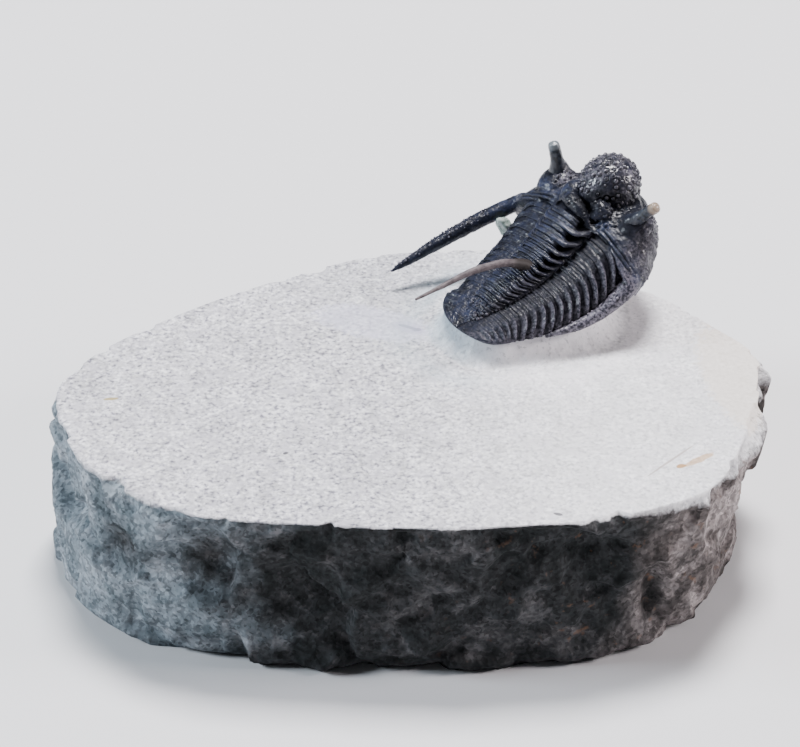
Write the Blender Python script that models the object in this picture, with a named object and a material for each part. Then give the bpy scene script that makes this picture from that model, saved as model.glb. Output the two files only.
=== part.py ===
# A cyphaspis trilobite prepared on a slab of its matrix stone.
# Lengths are in millimetres here, and metres() brings them to Blender's units.
# The animal is described in its own measures: s runs along it from the tail, u to its right
# and h upwards from its edge. on_body() bends them onto the stone.

import bpy
import bmesh
import numpy as np
from math import cos, pi, radians, sin, sqrt
from mathutils import Vector, noise

OBJECT_NAME = "trilobite_fossil"
NOISE_SEED = 11
GAP = 0.35                      # between the shell and the stone under it

# The animal's pose on the stone
TAIL_AT = (3.7, 4.2, 16.0)
HEADING = radians(53.0)         # clockwise from +Y
ROLL = radians(3.0)             # right side down
PITCH_AT = (0.0, 6.6, 11.0, 14.8, 20.5)
PITCH = (0.0, 11.0, 35.0, 29.0, 20.0)

# Tail shield and thorax
TAIL_LENGTH = 2.8
THORAX_LENGTH = 10.9
SEGMENTS = 12
SEGMENT_RATIO = 0.96            # each segment to the one before it
SPINE_SEGMENT = 6
NECK = TAIL_LENGTH + THORAX_LENGTH
SHELL_DEPTH = 0.3               # of its flat underside below its edge
AXIS_SHARE = 0.4                # of the skin from the middle line to the edge
TAIL_ROUNDNESS = 1.7
TAIL_RING = 0.45                # length of a fused ring on the tail shield

# Profiles along the thorax, from 0 at its rear to 1 at its front
AXIS_WIDTH = ((-0.26, 0.0, 0.5, 1.0), (0.35, 1.3, 1.95, 2.4))
AXIS_HEIGHT = ((-0.26, -0.1, 0.0, 0.5, 1.0), (0.05, 0.55, 0.8, 1.25, 1.45))
FURROW_HEIGHT = ((-0.26, -0.1, 0.0, 0.5, 1.0), (0.05, 0.75, 1.15, 1.95, 2.2))
HALF_WIDTH = ((0.0, 0.2, 0.5, 0.8, 1.0), (4.0, 4.85, 5.6, 6.05, 6.15))
RIB_SWEEP = ((-0.26, 0.0, 1.0), (0.0, 0.4, 1.7))
LEFT_TUCK = 0.45                # how far the left margin is folded in under the body

# Relief over one segment, from its front edge to its rear one
RING_RELIEF = ((0.0, 0.18, 0.38, 0.7, 1.0), (-1.0, 0.35, -0.1, 1.0, -1.0))
RIB_RELIEF = ((0.0, 0.2, 0.45, 0.72, 1.0), (-1.0, 0.6, -0.4, 1.0, -1.0))
RING_DEPTH = 0.17
RIB_DEPTH = 0.17

# Head
HEAD_HALF_WIDTH = 7.2
HEAD_LENGTH = 6.3
HEAD_EDGE = -1.0
HEAD_DEPTH = 1.4
GENAL_SETBACK = 0.6
CHEEK_HEIGHT = 2.7
REAR_BORDER = (0.22, 0.35, 0.22)        # of each ridge: height, place ahead of the rear and width
REAR_FURROW = (-0.3, 0.95, 0.3)
SIDE_BORDER = (0.25, 0.95, 0.05)        # placed from the middle line at 0 to the edge at 1
SIDE_FURROW = (-0.22, 0.84, 0.06)
CHEEK_BULGE = (0.45, 3.8, 1.3)          # placed from the middle line in millimetres
EYE_SWELL = (0.7, 0.0, 1.0)             # around the foot of the eye stalk
GLABELLA_FURROW = (-0.5, 1.0, 0.18)     # in shares of the radius below
GLABELLA_FURROW_RADIUS = 2.9
OCCIPITAL_AHEAD = 0.65                  # of its middle from the neck
OCCIPITAL_SWEEP = 0.25                  # how much further ahead its ends are
OCCIPITAL_REACH = 1.45                  # radians from its middle to its ends
OCCIPITAL_RADIUS = 0.55
OCCIPITAL_SWELL = 0.1
GLABELLA_AT = (NECK + 3.85, 0.0, 2.45)
GLABELLA_RADII = (2.55, 2.6, 2.3)
GLABELLA_NECK = 0.8             # how much narrower it is at its rear
TUBERCLES = 110
TUBERCLE_HEIGHT = 0.22
LOBE_AT = (NECK + 2.0, 1.5, 2.9)
LOBE_RADII = (0.85, 0.75, 0.95)
LEFT_EYE_BASE = (NECK + 2.73, -4.75, 2.2)
RIGHT_EYE_BASE = (NECK + 2.6, 4.2, 2.1)
LEFT_EYE_TIP = (NECK + 3.4, -5.3, 4.75)
RIGHT_EYE_TIP = (NECK + 3.9, 6.25, 4.1)
EYE_RADII = (0.85, 0.66, 0.51, 0.5, 0.52, 0.45, 0.22)

# Spines: their middle lines and their radii along them
LEFT_GENAL = (
    (10.4, 15.5, 21.0), (9.6, 16.4, 20.6), (8.8, 17.0, 19.85), (7.1, 16.75, 19.1),
    (5.5, 16.25, 18.5), (3.6, 15.5, 17.75), (1.7, 14.65, 17.0), (0.0, 13.85, 16.3),
    (-1.5, 13.1, 15.7),
)
LEFT_GENAL_RADII = (0.45, 0.6, 0.66, 0.68, 0.66, 0.6, 0.5, 0.36, 0.1)
RIGHT_GENAL = (
    (NECK - 0.2, 6.0, 0.0), (NECK - 1.0, 6.6, -0.1), (NECK - 2.4, 6.6, -0.2),
    (NECK - 4.4, 6.35, -0.15), (NECK - 6.4, 5.9, -0.05), (NECK - 8.9, 5.2, 0.0),
)
RIGHT_GENAL_RADII = (0.9, 0.8, 0.66, 0.52, 0.4, 0.15)
AXIAL_SPINE = (
    (0.6, 0.25, -0.85), (1.0, 0.1, -0.1), (2.0, 0.0, 0.65), (3.5, -0.2, 1.3),
    (6.8, -0.6, 2.0), (10.6, -0.9, 2.3), (14.25, -1.0, 2.75),
)
AXIAL_SPINE_RADII = (0.5, 0.4, 0.32, 0.3, 0.27, 0.2, 0.1)
ROD_RESOLUTION = 2
SPINE_STEPS = 3                 # lengths between two points of a spine's middle line

# Stone
STONE_TOP = 14.0
STONE_OUTLINE = (
    (-27.6, -2.1), (-25.2, 3.3), (-20.0, 8.3), (-13.5, 12.9), (-4.6, 17.6), (1.7, 18.9),
    (8.0, 19.1), (14.2, 18.4), (18.9, 13.4), (24.7, 8.0), (28.3, 3.0), (27.9, -2.7),
    (25.0, -10.5), (22.0, -14.3), (15.4, -17.3), (7.9, -18.5), (-1.1, -18.7), (-11.7, -17.9),
    (-16.5, -17.0), (-21.0, -14.2), (-25.4, -9.6),
)
STONE_SPOKES = 80
UNDERSIDE_SHARE = 0.55          # of the way out to the foot, where the underside has its inner ring
PEDESTAL_CENTRE_AT = 8.6        # along the animal
PEDESTAL_INSET = ((0.0, 8.0, 10.0, 12.0, 13.5, 15.0), (0.4, 0.7, 1.2, 2.6, 4.0, 5.2))
PEDESTAL_END = 15.0
PEDESTAL_FLARE = 1.0            # run of its slope to its height
PEDESTAL_RUN_LIMIT = 2.6
WALL = (                        # level, and how far in from the upper edge
    (1.0, 0.25), (0.985, 0.0), (0.93, -0.1), (0.8, 0.1), (0.62, 0.3), (0.42, 0.1), (0.22, 0.2),
    (0.06, 0.3), (0.0, 0.7),
)
WALL_ROUGHNESS = 0.9
LEAN_EAST = 2.6                 # how far the foot stands in on the right
LEAN_WEST = -0.8


def metres(points):
    return np.asarray(points, float) * 0.001


def smooth_curve(x, knots):
    """A smooth curve through the knots ((x...), (y...)), level beyond its ends."""
    xs, ys = (np.asarray(k, float) for k in knots)
    slopes = np.gradient(ys, xs)
    x = np.clip(np.asarray(x, float), xs[0], xs[-1])
    i = np.clip(np.searchsorted(xs, x, side="right") - 1, 0, len(xs) - 2)
    width = xs[i + 1] - xs[i]
    t = (x - xs[i]) / width
    start, end = ys[i], ys[i + 1]
    rise_in, rise_out = slopes[i] * width, slopes[i + 1] * width
    return (
        start * (1 + 2 * t) * (1 - t) ** 2
        + rise_in * t * (1 - t) ** 2
        + end * t * t * (3 - 2 * t)
        + rise_out * t * t * (t - 1)
    )


def smooth_step(x, low, high):
    t = np.clip((x - low) / (high - low), 0.0, 1.0)
    return t * t * (3 - 2 * t)


def body_line():
    """The animal's middle line at its edge's level: s, pitch, run and rise."""
    s = np.linspace(-1.0, 24.0, 501)
    pitch = np.radians(np.interp(s, PITCH_AT, PITCH))
    step = s[1] - s[0]
    middle = (pitch[1:] + pitch[:-1]) / 2
    run = np.concatenate([[0.0], np.cumsum(np.cos(middle) * step)])
    rise = np.concatenate([[0.0], np.cumsum(np.sin(middle) * step)])
    return s, pitch, run - np.interp(0.0, s, run), rise - np.interp(0.0, s, rise)


LINE_S, LINE_PITCH, LINE_RUN, LINE_RISE = body_line()
FORWARD = np.array([sin(HEADING), cos(HEADING), 0.0])
ACROSS = np.array([cos(HEADING), -sin(HEADING), 0.0])
UP = np.array([0.0, 0.0, 1.0])


def on_body(s, u, h):
    """World points in millimetres for the animal's measures s, u and h."""
    s, u, h = np.broadcast_arrays(*(np.asarray(v, float) for v in (s, u, h)))
    pitch = np.interp(s, LINE_S, LINE_PITCH)[..., None]
    run = np.interp(s, LINE_S, LINE_RUN)[..., None]
    rise = np.interp(s, LINE_S, LINE_RISE)[..., None]
    normal = -np.sin(pitch) * FORWARD + np.cos(pitch) * UP
    side = cos(ROLL) * ACROSS - sin(ROLL) * normal
    normal = cos(ROLL) * normal + sin(ROLL) * ACROSS
    return TAIL_AT + run * FORWARD + rise * UP + u[..., None] * side + h[..., None] * normal


def along_thorax(s):
    return (np.asarray(s, float) - TAIL_LENGTH) / THORAX_LENGTH


def segment_edges():
    """The front edge of each segment from the neck back, and the rear edge of the last."""
    lengths = SEGMENT_RATIO ** np.arange(SEGMENTS)
    lengths *= THORAX_LENGTH / lengths.sum()
    return NECK - np.concatenate([[0.0], np.cumsum(lengths)])


def half_width(s):
    """Half the width of the shell at s, rounded off behind the thorax."""
    s = np.asarray(s, float)
    rounding = np.sqrt(np.clip(1 - (1 - np.clip(s / TAIL_LENGTH, 0, 1)) ** TAIL_ROUNDNESS, 0, 1))
    return smooth_curve(along_thorax(s), HALF_WIDTH) * rounding


def segment_phase(s):
    """How far s is through its segment, from its front edge to its rear one."""
    edges = segment_edges()[::-1]
    i = np.clip(np.searchsorted(edges, s, side="right") - 1, 0, SEGMENTS - 1)
    return np.clip((edges[i + 1] - s) / (edges[i + 1] - edges[i]), 0.0, 1.0)


def shell_skin(s, w):
    """The back of the tail shield and thorax, for w from -1 at its left edge to 1."""
    s, w = np.broadcast_arrays(np.asarray(s, float), np.asarray(w, float))
    along = along_thorax(s)
    in_thorax = smooth_step(along, -0.06, 0.02)
    edge = half_width(s)
    axis = np.minimum(smooth_curve(along, AXIS_WIDTH), 0.7 * edge)
    furrow = smooth_curve(along, FURROW_HEIGHT)
    reach = np.abs(w)
    turn = np.clip(reach / AXIS_SHARE, 0, 1) * pi / 2
    bend = np.clip((reach - AXIS_SHARE) / (1 - AXIS_SHARE), 0, 1) * pi / 2
    on_axis = reach < AXIS_SHARE
    crown = smooth_curve(along, AXIS_HEIGHT) * np.cos(turn) ** 0.8
    u = np.where(on_axis, axis * np.sin(turn), axis + (edge - axis) * np.sin(bend))
    h = np.where(on_axis, furrow + crown, furrow * np.cos(bend) ** 0.6)
    phase = np.where(s < TAIL_LENGTH, ((TAIL_LENGTH - s) / TAIL_RING) % 1.0, segment_phase(s))
    fade = 0.4 * smooth_step(s, 0.5, 1.2) + 0.4 * in_thorax + 0.3 * np.clip(along, 0, 1)
    flank = 1 + 0.9 * smooth_step(turn, 0.5, 1.2) * in_thorax
    border = 1 - (1 - in_thorax) * smooth_step(bend, 0.6, 1.1)
    ring = RING_DEPTH * fade * flank * smooth_curve(phase, RING_RELIEF)
    rib = RIB_DEPTH * fade * border * smooth_curve(phase, RIB_RELIEF)
    lean = np.where(on_axis, turn, 1.4 * (bend / (pi / 2)) ** 1.6)
    relief = np.where(on_axis, ring, rib)
    tuck = LEFT_TUCK * smooth_step(bend, 0.6, 1.5) * in_thorax * (w < 0)
    u = np.sign(w) * (u + relief * np.sin(lean) - 1.2 * tuck)
    h = h + relief * np.cos(lean) - tuck
    sweep = 0.35 * in_thorax * np.sin(turn) ** 3
    sweep = sweep - smooth_curve(along, RIB_SWEEP) * (bend / (pi / 2)) ** 2
    return s + sweep, u, h


def ridge(x, shape):
    """A soft ridge, or a furrow for a height below 0."""
    height, place, width = shape
    return height * np.exp(-(((x - place) / width) ** 2))


def head_half_width(ahead):
    """Half the head's width, ahead of the line through its genal angles."""
    x = np.clip(np.asarray(ahead, float) / HEAD_LENGTH, 0, 1)
    return HEAD_HALF_WIDTH * (1 - x * x) ** 0.75


def head_skin(ahead, w):
    """The back of the head without its glabella, for w from -1 at its left edge to 1."""
    ahead, w = np.broadcast_arrays(np.asarray(ahead, float), np.asarray(w, float))
    edge = head_half_width(ahead)
    reach = np.abs(w) * pi / 2
    u = np.sign(w) * edge * np.sin(reach)
    x = ahead / HEAD_LENGTH
    h = HEAD_EDGE + (CHEEK_HEIGHT - HEAD_EDGE) * np.cos(reach) ** 0.55 * (1 - x ** 3) ** 0.6
    setback = GENAL_SETBACK * (np.abs(u) / HEAD_HALF_WIDTH) ** 3 * (1 - x)
    bulge = ridge(np.abs(u), CHEEK_BULGE) * (1 - x)
    s = NECK + ahead - GENAL_SETBACK * 0.2 + bulge - setback * 2.2
    from_eye = np.hypot(s - RIGHT_EYE_BASE[0], np.abs(u) - RIGHT_EYE_BASE[1])
    from_glabella = np.hypot(s - GLABELLA_AT[0], u) / GLABELLA_FURROW_RADIUS
    lean = 1.3 * np.abs(w) ** 2.5
    relief = ridge(ahead, REAR_BORDER) + ridge(ahead, REAR_FURROW)
    relief = relief + ridge(np.abs(w), SIDE_BORDER) + ridge(np.abs(w), SIDE_FURROW)
    h = h + relief * np.cos(lean) + ridge(from_eye, EYE_SWELL) + ridge(from_glabella, GLABELLA_FURROW)
    u = u + np.sign(w) * relief * np.sin(lean)
    return s, u, h


def loft(name, rings, first_pole, last_pole):
    """A closed skin over rings of equally many points, ended in a point each way."""
    mesh = bmesh.new()
    loops = [[mesh.verts.new(p) for p in metres(ring)] for ring in rings]
    count = len(loops[0])
    for near, far in zip(loops, loops[1:]):
        for i in range(count):
            j = (i + 1) % count
            mesh.faces.new((near[i], near[j], far[j], far[i]))
    for pole, loop in ((first_pole, loops[0]), (last_pole, loops[-1])):
        tip = mesh.verts.new(metres(pole))
        for i in range(count):
            j = (i + 1) % count
            mesh.faces.new((tip, loop[j], loop[i]) if loop is loops[0] else (tip, loop[i], loop[j]))
    return new_object(name, mesh)


def new_object(name, mesh):
    """An object of a closed mesh, with its faces turned outwards."""
    bmesh.ops.triangulate(mesh, faces=mesh.faces)
    if mesh.calc_volume(signed=True) < 0:
        bmesh.ops.reverse_faces(mesh, faces=mesh.faces)
    data = bpy.data.meshes.new(name)
    mesh.to_mesh(data)
    mesh.free()
    return bpy.data.objects.new(name, data)


def body_sections():
    """Where the thorax and tail shield are cut across, from the tail."""
    tail = [0.08, 0.3] + [TAIL_LENGTH - TAIL_RING * k / 2 for k in range(10, 0, -1)]
    edges = segment_edges()
    cuts = [s for s in tail if s < TAIL_LENGTH - 0.1]
    for front, rear in reversed(list(zip(edges, edges[1:]))):
        cuts += [front + (rear - front) * phase for phase in (1.0, 0.72, 0.42, 0.2)]
    return cuts + [NECK, NECK + 0.6]


def shell_body():
    """The thorax and tail shield as one solid."""
    pleura = (0.12, 0.3, 0.5, 0.68, 0.85, 1.0)
    side = [AXIS_SHARE + (1 - AXIS_SHARE) * q for q in pleura]
    back = np.array([-w for w in reversed(side)] + [k / 10 for k in range(-4, 5)] + side)
    below = np.array([0.75, 0.4, 0.0, -0.4, -0.75])
    rings = []
    for s in body_sections():
        s_back, u_back, h_back = shell_skin(s, back)
        depth = SHELL_DEPTH * smooth_step(s, -0.2, 1.5)
        lift = smooth_curve(along_thorax(s), RIB_SWEEP)
        s_below = s - lift * below ** 2
        u_below = below * half_width(s)
        top = on_body(s_back, u_back, h_back)
        rings.append(np.vstack([top, on_body(s_below, u_below, -depth)]))
    tail_tip = on_body(0.0, 0.0, 0.0)
    neck = on_body(NECK + 0.6, 0.0, 1.0)
    return loft("thorax", rings, tail_tip, neck)


def head_body():
    """The cheeks and borders of the head as one solid."""
    back = np.array([-1, -0.95, -0.9, -0.84, -0.72, -0.6, -0.48, -0.36, -0.24, -0.12])
    back = np.concatenate([back, [0.0], -back[::-1]])
    below = np.array([0.85, 0.45, 0.0, -0.45, -0.85])
    cuts = (0.0, 0.3, 0.6, 0.95, 1.4, 1.9, 2.4, 2.9, 3.4, 3.9, 4.4, 4.9, 5.4, 5.8, 6.1)
    rings = []
    for ahead in cuts:
        s_back, u_back, h_back = head_skin(ahead, back)
        s_below = np.interp(below, back, s_back)
        u_below = below * head_half_width(ahead)
        top = on_body(s_back, u_back, h_back)
        rings.append(np.vstack([top, on_body(s_below, u_below, -HEAD_DEPTH)]))
    rear = on_body(NECK + 0.3, 0.0, 1.0)
    front = on_body(NECK + HEAD_LENGTH, 0.0, (HEAD_EDGE - HEAD_DEPTH) / 2)
    return loft("head", rings, rear, front)


def spread_on_ball(count):
    """Evenly spread directions, in a spiral from pole to pole."""
    k = np.arange(count) + 0.5
    height = 1 - 2 * k / count
    turn = pi * (1 + sqrt(5)) * k
    flat = np.sqrt(1 - height ** 2)
    return np.stack([np.cos(turn) * flat, np.sin(turn) * flat, height], axis=1)


def ball(name, centre, radii, tubercles, rear_share=1.0, subdivisions=4):
    """An ovoid in the animal's measures, narrower behind, with tubercles raised on it."""
    mesh = bmesh.new()
    bmesh.ops.create_icosphere(mesh, subdivisions=subdivisions, radius=1.0)
    directions = np.array([v.co for v in mesh.verts])
    raised = np.zeros(len(directions))
    for tubercle in spread_on_ball(tubercles):
        raised[np.argmax(directions @ tubercle)] = TUBERCLE_HEIGHT
    narrow = 1 - (1 - rear_share) * smooth_step(-directions[:, 0], -0.2, 1.0)
    scale = np.stack([np.ones_like(narrow), narrow, narrow], axis=1)
    local = directions * np.array(radii) * scale + directions * raised[:, None]
    placed = on_body(*(np.array(centre) + local).T)
    for vertex, point in zip(mesh.verts, metres(placed)):
        vertex.co = point
    return new_object(name, mesh)


def eased_path(points, radii, steps):
    """More points on a smooth curve through the given ones, with their radii."""
    points = np.asarray(points, float)
    known = np.arange(len(points), dtype=float)
    fine = np.linspace(0, len(points) - 1, (len(points) - 1) * steps + 1)
    path = np.stack([smooth_curve(fine, (known, points[:, k])) for k in range(3)], axis=1)
    return path, smooth_curve(fine, (known, radii))


def rod(name, path, radii):
    """A round tapering rod along a path in world millimetres."""
    curve = bpy.data.curves.new(name + "_line", "CURVE")
    curve.dimensions = "3D"
    curve.bevel_depth = 0.001
    curve.bevel_resolution = ROD_RESOLUTION
    curve.use_fill_caps = True
    spline = curve.splines.new("POLY")
    spline.points.add(len(path) - 1)
    for point, place, radius in zip(spline.points, metres(path), radii):
        point.co = (*place, 1.0)
        point.radius = radius
    guide = bpy.data.objects.new(name + "_line", curve)
    bpy.context.scene.collection.objects.link(guide)
    bpy.context.view_layer.update()
    evaluated = guide.evaluated_get(bpy.context.evaluated_depsgraph_get())
    data = bpy.data.meshes.new_from_object(evaluated)
    mesh = bmesh.new()
    mesh.from_mesh(data)
    bmesh.ops.remove_doubles(mesh, verts=mesh.verts, dist=1e-6)
    bpy.data.objects.remove(guide)
    bpy.data.meshes.remove(data)
    return new_object(name, mesh)


def eye_stalk(name, base, tip):
    base = np.array(base)
    share = np.linspace(0, 1, len(EYE_RADII))
    share[-2:] = (0.95, 1.0)
    path = base + (np.array(tip) - base) * share[:, None]
    return rod(name, on_body(*path.T), EYE_RADII)


def genal_spines():
    left, left_radii = eased_path(LEFT_GENAL, LEFT_GENAL_RADII, SPINE_STEPS)
    right, right_radii = eased_path(RIGHT_GENAL, RIGHT_GENAL_RADII, SPINE_STEPS)
    left_spine = rod("left_genal_spine", left, left_radii)
    right_spine = rod("right_genal_spine", on_body(*right.T), right_radii)
    return [left_spine, right_spine]


def axial_spine():
    """The long spine that stands on the sixth ring and leans back over the body."""
    edges = segment_edges()
    s = (edges[SPINE_SEGMENT - 1] + edges[SPINE_SEGMENT]) / 2
    s_top, _, h_top = shell_skin(s, 0.0)
    base = on_body(s_top, 0.0, h_top)
    back = on_body(s_top - 1, 0.0, h_top) - base
    side = on_body(s_top, 1.0, h_top) - base
    up = on_body(s_top, 0.0, h_top + 1) - base
    path, radii = eased_path(AXIAL_SPINE, AXIAL_SPINE_RADII, SPINE_STEPS)
    world = base + path[:, :1] * back + path[:, 1:2] * side + path[:, 2:] * up
    return rod("axial_spine", world, radii)


def occipital_ring():
    """The raised ring across the neck, behind the glabella."""
    across = np.linspace(-1, 1, 9)
    turn = across * OCCIPITAL_REACH
    half = AXIS_WIDTH[1][-1]
    floor, crown = FURROW_HEIGHT[1][-1], AXIS_HEIGHT[1][-1]
    path = on_body(NECK + OCCIPITAL_AHEAD + OCCIPITAL_SWEEP * across ** 2, half * np.sin(turn),
                   floor - 0.35 + (crown + 0.1) * np.cos(turn) ** 0.8)
    return rod("occipital_ring", path, OCCIPITAL_RADIUS + OCCIPITAL_SWELL * np.cos(turn))


def trilobite():
    """The whole animal: the thorax with everything that grew on it joined to it."""
    body = shell_body()
    grown = [head_body(), occipital_ring(), axial_spine()]
    grown.append(ball("glabella", GLABELLA_AT, GLABELLA_RADII, TUBERCLES, GLABELLA_NECK))
    for name, side in (("left", -1), ("right", 1)):
        centre = np.array(LOBE_AT) * (1, side, 1)
        grown.append(ball(name + "_basal_lobe", centre, LOBE_RADII, 12, subdivisions=3))
    grown.append(eye_stalk("left_eye_stalk", LEFT_EYE_BASE, LEFT_EYE_TIP))
    grown.append(eye_stalk("right_eye_stalk", RIGHT_EYE_BASE, RIGHT_EYE_TIP))
    grown += genal_spines()
    joined = new_collection("joined_to_the_thorax")
    for piece in grown:
        joined.objects.link(piece)
        piece.hide_render = True
        piece.display_type = "WIRE"
        union = body.modifiers.new("with_" + piece.name, "BOOLEAN")
        union.operation = "UNION"
        union.object = piece
    body.name = "trilobite"
    return body


def pedestal_outline():
    """The edge of the pedestal's top, under the animal, with the side turned to each point."""
    s = np.linspace(0.5, PEDESTAL_END, 32)
    w = half_width(s) - smooth_curve(s, PEDESTAL_INSET)
    right = on_body(s, w, 0.0)
    left = on_body(s, -w, 0.0)
    return np.vstack([right, left[::-1]])[:, :2]


def distance_to_outline(outline, centre, direction):
    """How far it is from the centre to a closed outline, in one direction."""
    start = np.asarray(outline) - centre
    edge = np.roll(start, -1, axis=0) - start
    cross = edge[:, 0] * direction[1] - edge[:, 1] * direction[0]
    cross = np.where(np.abs(cross) < 1e-12, 1e-12, cross)
    far = (edge[:, 0] * start[:, 1] - edge[:, 1] * start[:, 0]) / cross
    share = (direction[0] * start[:, 1] - direction[1] * start[:, 0]) / cross
    hits = (share >= 0) & (share <= 1) & (far > 0)
    return far[hits].max()


def pedestal_top(x, y):
    """The height of the stone where it carries the animal."""
    offset = np.stack([x - TAIL_AT[0], y - TAIL_AT[1]], axis=-1)
    run = offset @ FORWARD[:2]
    across = offset @ ACROSS[:2]
    s = np.interp(run, LINE_RUN, LINE_S)
    pitch = np.interp(s, LINE_S, LINE_PITCH)
    depth = SHELL_DEPTH + (HEAD_DEPTH - SHELL_DEPTH) * smooth_step(s, NECK - 2.5, NECK - 1.0)
    rise = np.interp(run, LINE_RUN, LINE_RISE)
    return TAIL_AT[2] + rise - across * sin(ROLL) - (depth + GAP) / np.cos(pitch)


def stone_outline():
    """The stone's upper edge, smooth between its corners."""
    points = np.array(STONE_OUTLINE)
    wrapped = np.vstack([points[-3:], points, points[:3]])
    place = np.arange(-3, len(points) + 3, dtype=float)
    fine = np.linspace(0, len(points), 8 * len(points), endpoint=False)
    return np.stack([smooth_curve(fine, (place, wrapped[:, k])) for k in range(2)], axis=1)


def roughness(x, y, z, size):
    """Seeded noise of the broken stone, from -1 to 1."""
    place = Vector((x + NOISE_SEED, y - NOISE_SEED, z)) / size
    return noise.fractal(place, 1.0, 2.0, 3)


def stone_spoke(angle, centre, foot, edge):
    """One line down the stone, from beside its middle to its underside."""
    direction = np.array([cos(angle), sin(angle)])
    top = distance_to_outline(foot, centre, direction)
    rim = distance_to_outline(edge, centre, direction)
    shelf = centre + direction * top
    drop = float(pedestal_top(*shelf)) - STONE_TOP
    flare = min(PEDESTAL_FLARE * drop, PEDESTAL_RUN_LIMIT, 0.6 * (rim - top))
    points = []
    for share in (0.35, 0.7, 1.0):
        place = centre + direction * top * share
        points.append((*place, float(pedestal_top(*place))))
    for share in (0.12, 0.3, 0.55, 1.0):
        place = shelf + direction * flare * share
        points.append((*place, STONE_TOP + drop * (1 - share) ** 2.2))
    for share in (0.35, 0.7):
        place = centre + direction * (top + flare + (rim - top - flare) * share)
        points.append((*place, STONE_TOP))
    margin = rim - top - flare
    for level, inward in WALL:
        place = centre + direction * rim
        lean = LEAN_EAST * max(direction[0], 0) + LEAN_WEST * max(-direction[0], 0)
        inward = inward + lean * (1 - level)
        rough = roughness(place[0], place[1], level * STONE_TOP, 5.0)
        inward += WALL_ROUGHNESS * rough * (1 if 0 < level < 1 else 0.3)
        if level > 0.95:
            inward = min(inward, 0.25 * margin)
        points.append((*(place - direction * inward), STONE_TOP * level))
    return points


def matrix_stone():
    """The slab, from the pedestal's middle over its top and walls to its flat underside."""
    centre = on_body(PEDESTAL_CENTRE_AT, 0.0, 0.0)[:2]
    foot, edge = pedestal_outline(), stone_outline()
    angles = np.arange(STONE_SPOKES) * 2 * pi / STONE_SPOKES
    spokes = np.array([stone_spoke(angle, centre, foot, edge) for angle in angles])
    rings = list(spokes.transpose(1, 0, 2))
    inner = rings[-1].copy()
    inner[:, :2] = centre + (inner[:, :2] - centre) * UNDERSIDE_SHARE
    rings.append(inner)
    top_pole = (*centre, float(pedestal_top(*centre)))
    return loft("matrix_stone", rings, top_pole, (*centre, 0.0))


def new_collection(name):
    collection = bpy.data.collections.new(name)
    bpy.context.scene.collection.children.link(collection)
    return collection


def finish(thing, name, colour, roughness_value):
    material = bpy.data.materials.new(name)
    material.use_nodes = True
    shader = material.node_tree.nodes["Principled BSDF"]
    shader.inputs["Base Color"].default_value = (*colour, 1.0)
    shader.inputs["Roughness"].default_value = roughness_value
    shader.inputs["Metallic"].default_value = 0.0
    thing.data.materials.clear()
    thing.data.materials.append(material)


def main():
    for thing in list(bpy.data.objects):
        bpy.data.objects.remove(thing)
    collection = new_collection(OBJECT_NAME)
    stone, animal = matrix_stone(), trilobite()
    finish(stone, "pale_limestone", (0.72, 0.71, 0.7), 0.92)
    finish(animal, "black_calcite", (0.035, 0.04, 0.055), 0.35)
    for thing in (stone, animal):
        collection.objects.link(thing)


main()
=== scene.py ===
from math import cos, pi, radians, sin

import bpy
import numpy as np
from mathutils import Matrix, Vector, kdtree, noise


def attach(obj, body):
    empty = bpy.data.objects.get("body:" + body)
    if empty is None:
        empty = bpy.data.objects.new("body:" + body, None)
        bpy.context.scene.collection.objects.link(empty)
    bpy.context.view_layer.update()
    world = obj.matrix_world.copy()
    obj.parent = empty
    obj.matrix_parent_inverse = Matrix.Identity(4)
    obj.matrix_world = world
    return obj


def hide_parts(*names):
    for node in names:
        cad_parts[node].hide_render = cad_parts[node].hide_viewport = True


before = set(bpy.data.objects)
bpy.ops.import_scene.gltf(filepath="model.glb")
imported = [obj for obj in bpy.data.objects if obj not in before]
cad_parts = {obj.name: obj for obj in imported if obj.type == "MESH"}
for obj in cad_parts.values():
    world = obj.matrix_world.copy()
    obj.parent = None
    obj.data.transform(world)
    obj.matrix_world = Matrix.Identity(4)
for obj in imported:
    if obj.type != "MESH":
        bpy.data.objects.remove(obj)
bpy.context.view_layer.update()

mm = 0.001      # shapes are worked out in millimetres and stored in metres
metre = 1000.0

# The animal's measures: s runs along it from the tail, u to its right and h up from its edge
body = {
    "tailAt": (3.7, 4.2, 16.0),
    "heading": 53.0,                            # degrees clockwise from +Y
    "roll": 3.0,                                # right side down
    "pitchAt": (0.0, 6.6, 11.0, 14.8, 20.5),
    "pitch": (0.0, 11.0, 35.0, 29.0, 20.0),
    "tailLength": 2.8,
    "thoraxLength": 10.9,
    "segments": 12,
    "segmentRatio": 0.96,                       # each segment to the one before it
    "spineSegment": 6,
    "axisShare": 0.4,
    "axisWidth": ((-0.26, -0.17, -0.1, 0.0, 0.5, 1.0), (0.02, 0.3, 0.85, 1.3, 1.95, 2.4)),
    "axisHeight": ((-0.26, -0.17, -0.1, 0.0, 0.5, 1.0), (0.0, 0.08, 0.28, 0.6, 1.2, 1.45)),
    "furrowHeight": ((-0.26, -0.1, 0.0, 0.5, 1.0), (0.05, 0.75, 1.15, 1.95, 2.2)),
    "halfWidth": ((0.0, 0.2, 0.5, 0.8, 1.0), (4.0, 4.85, 5.6, 6.05, 6.15)),
    "ribSweep": ((-0.26, 0.0, 1.0), (0.0, 0.4, 1.7)),
    "tailRoundness": 1.7,
    "leftTuck": 0.45,
}
neck = body["tailLength"] + body["thoraxLength"]


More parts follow.
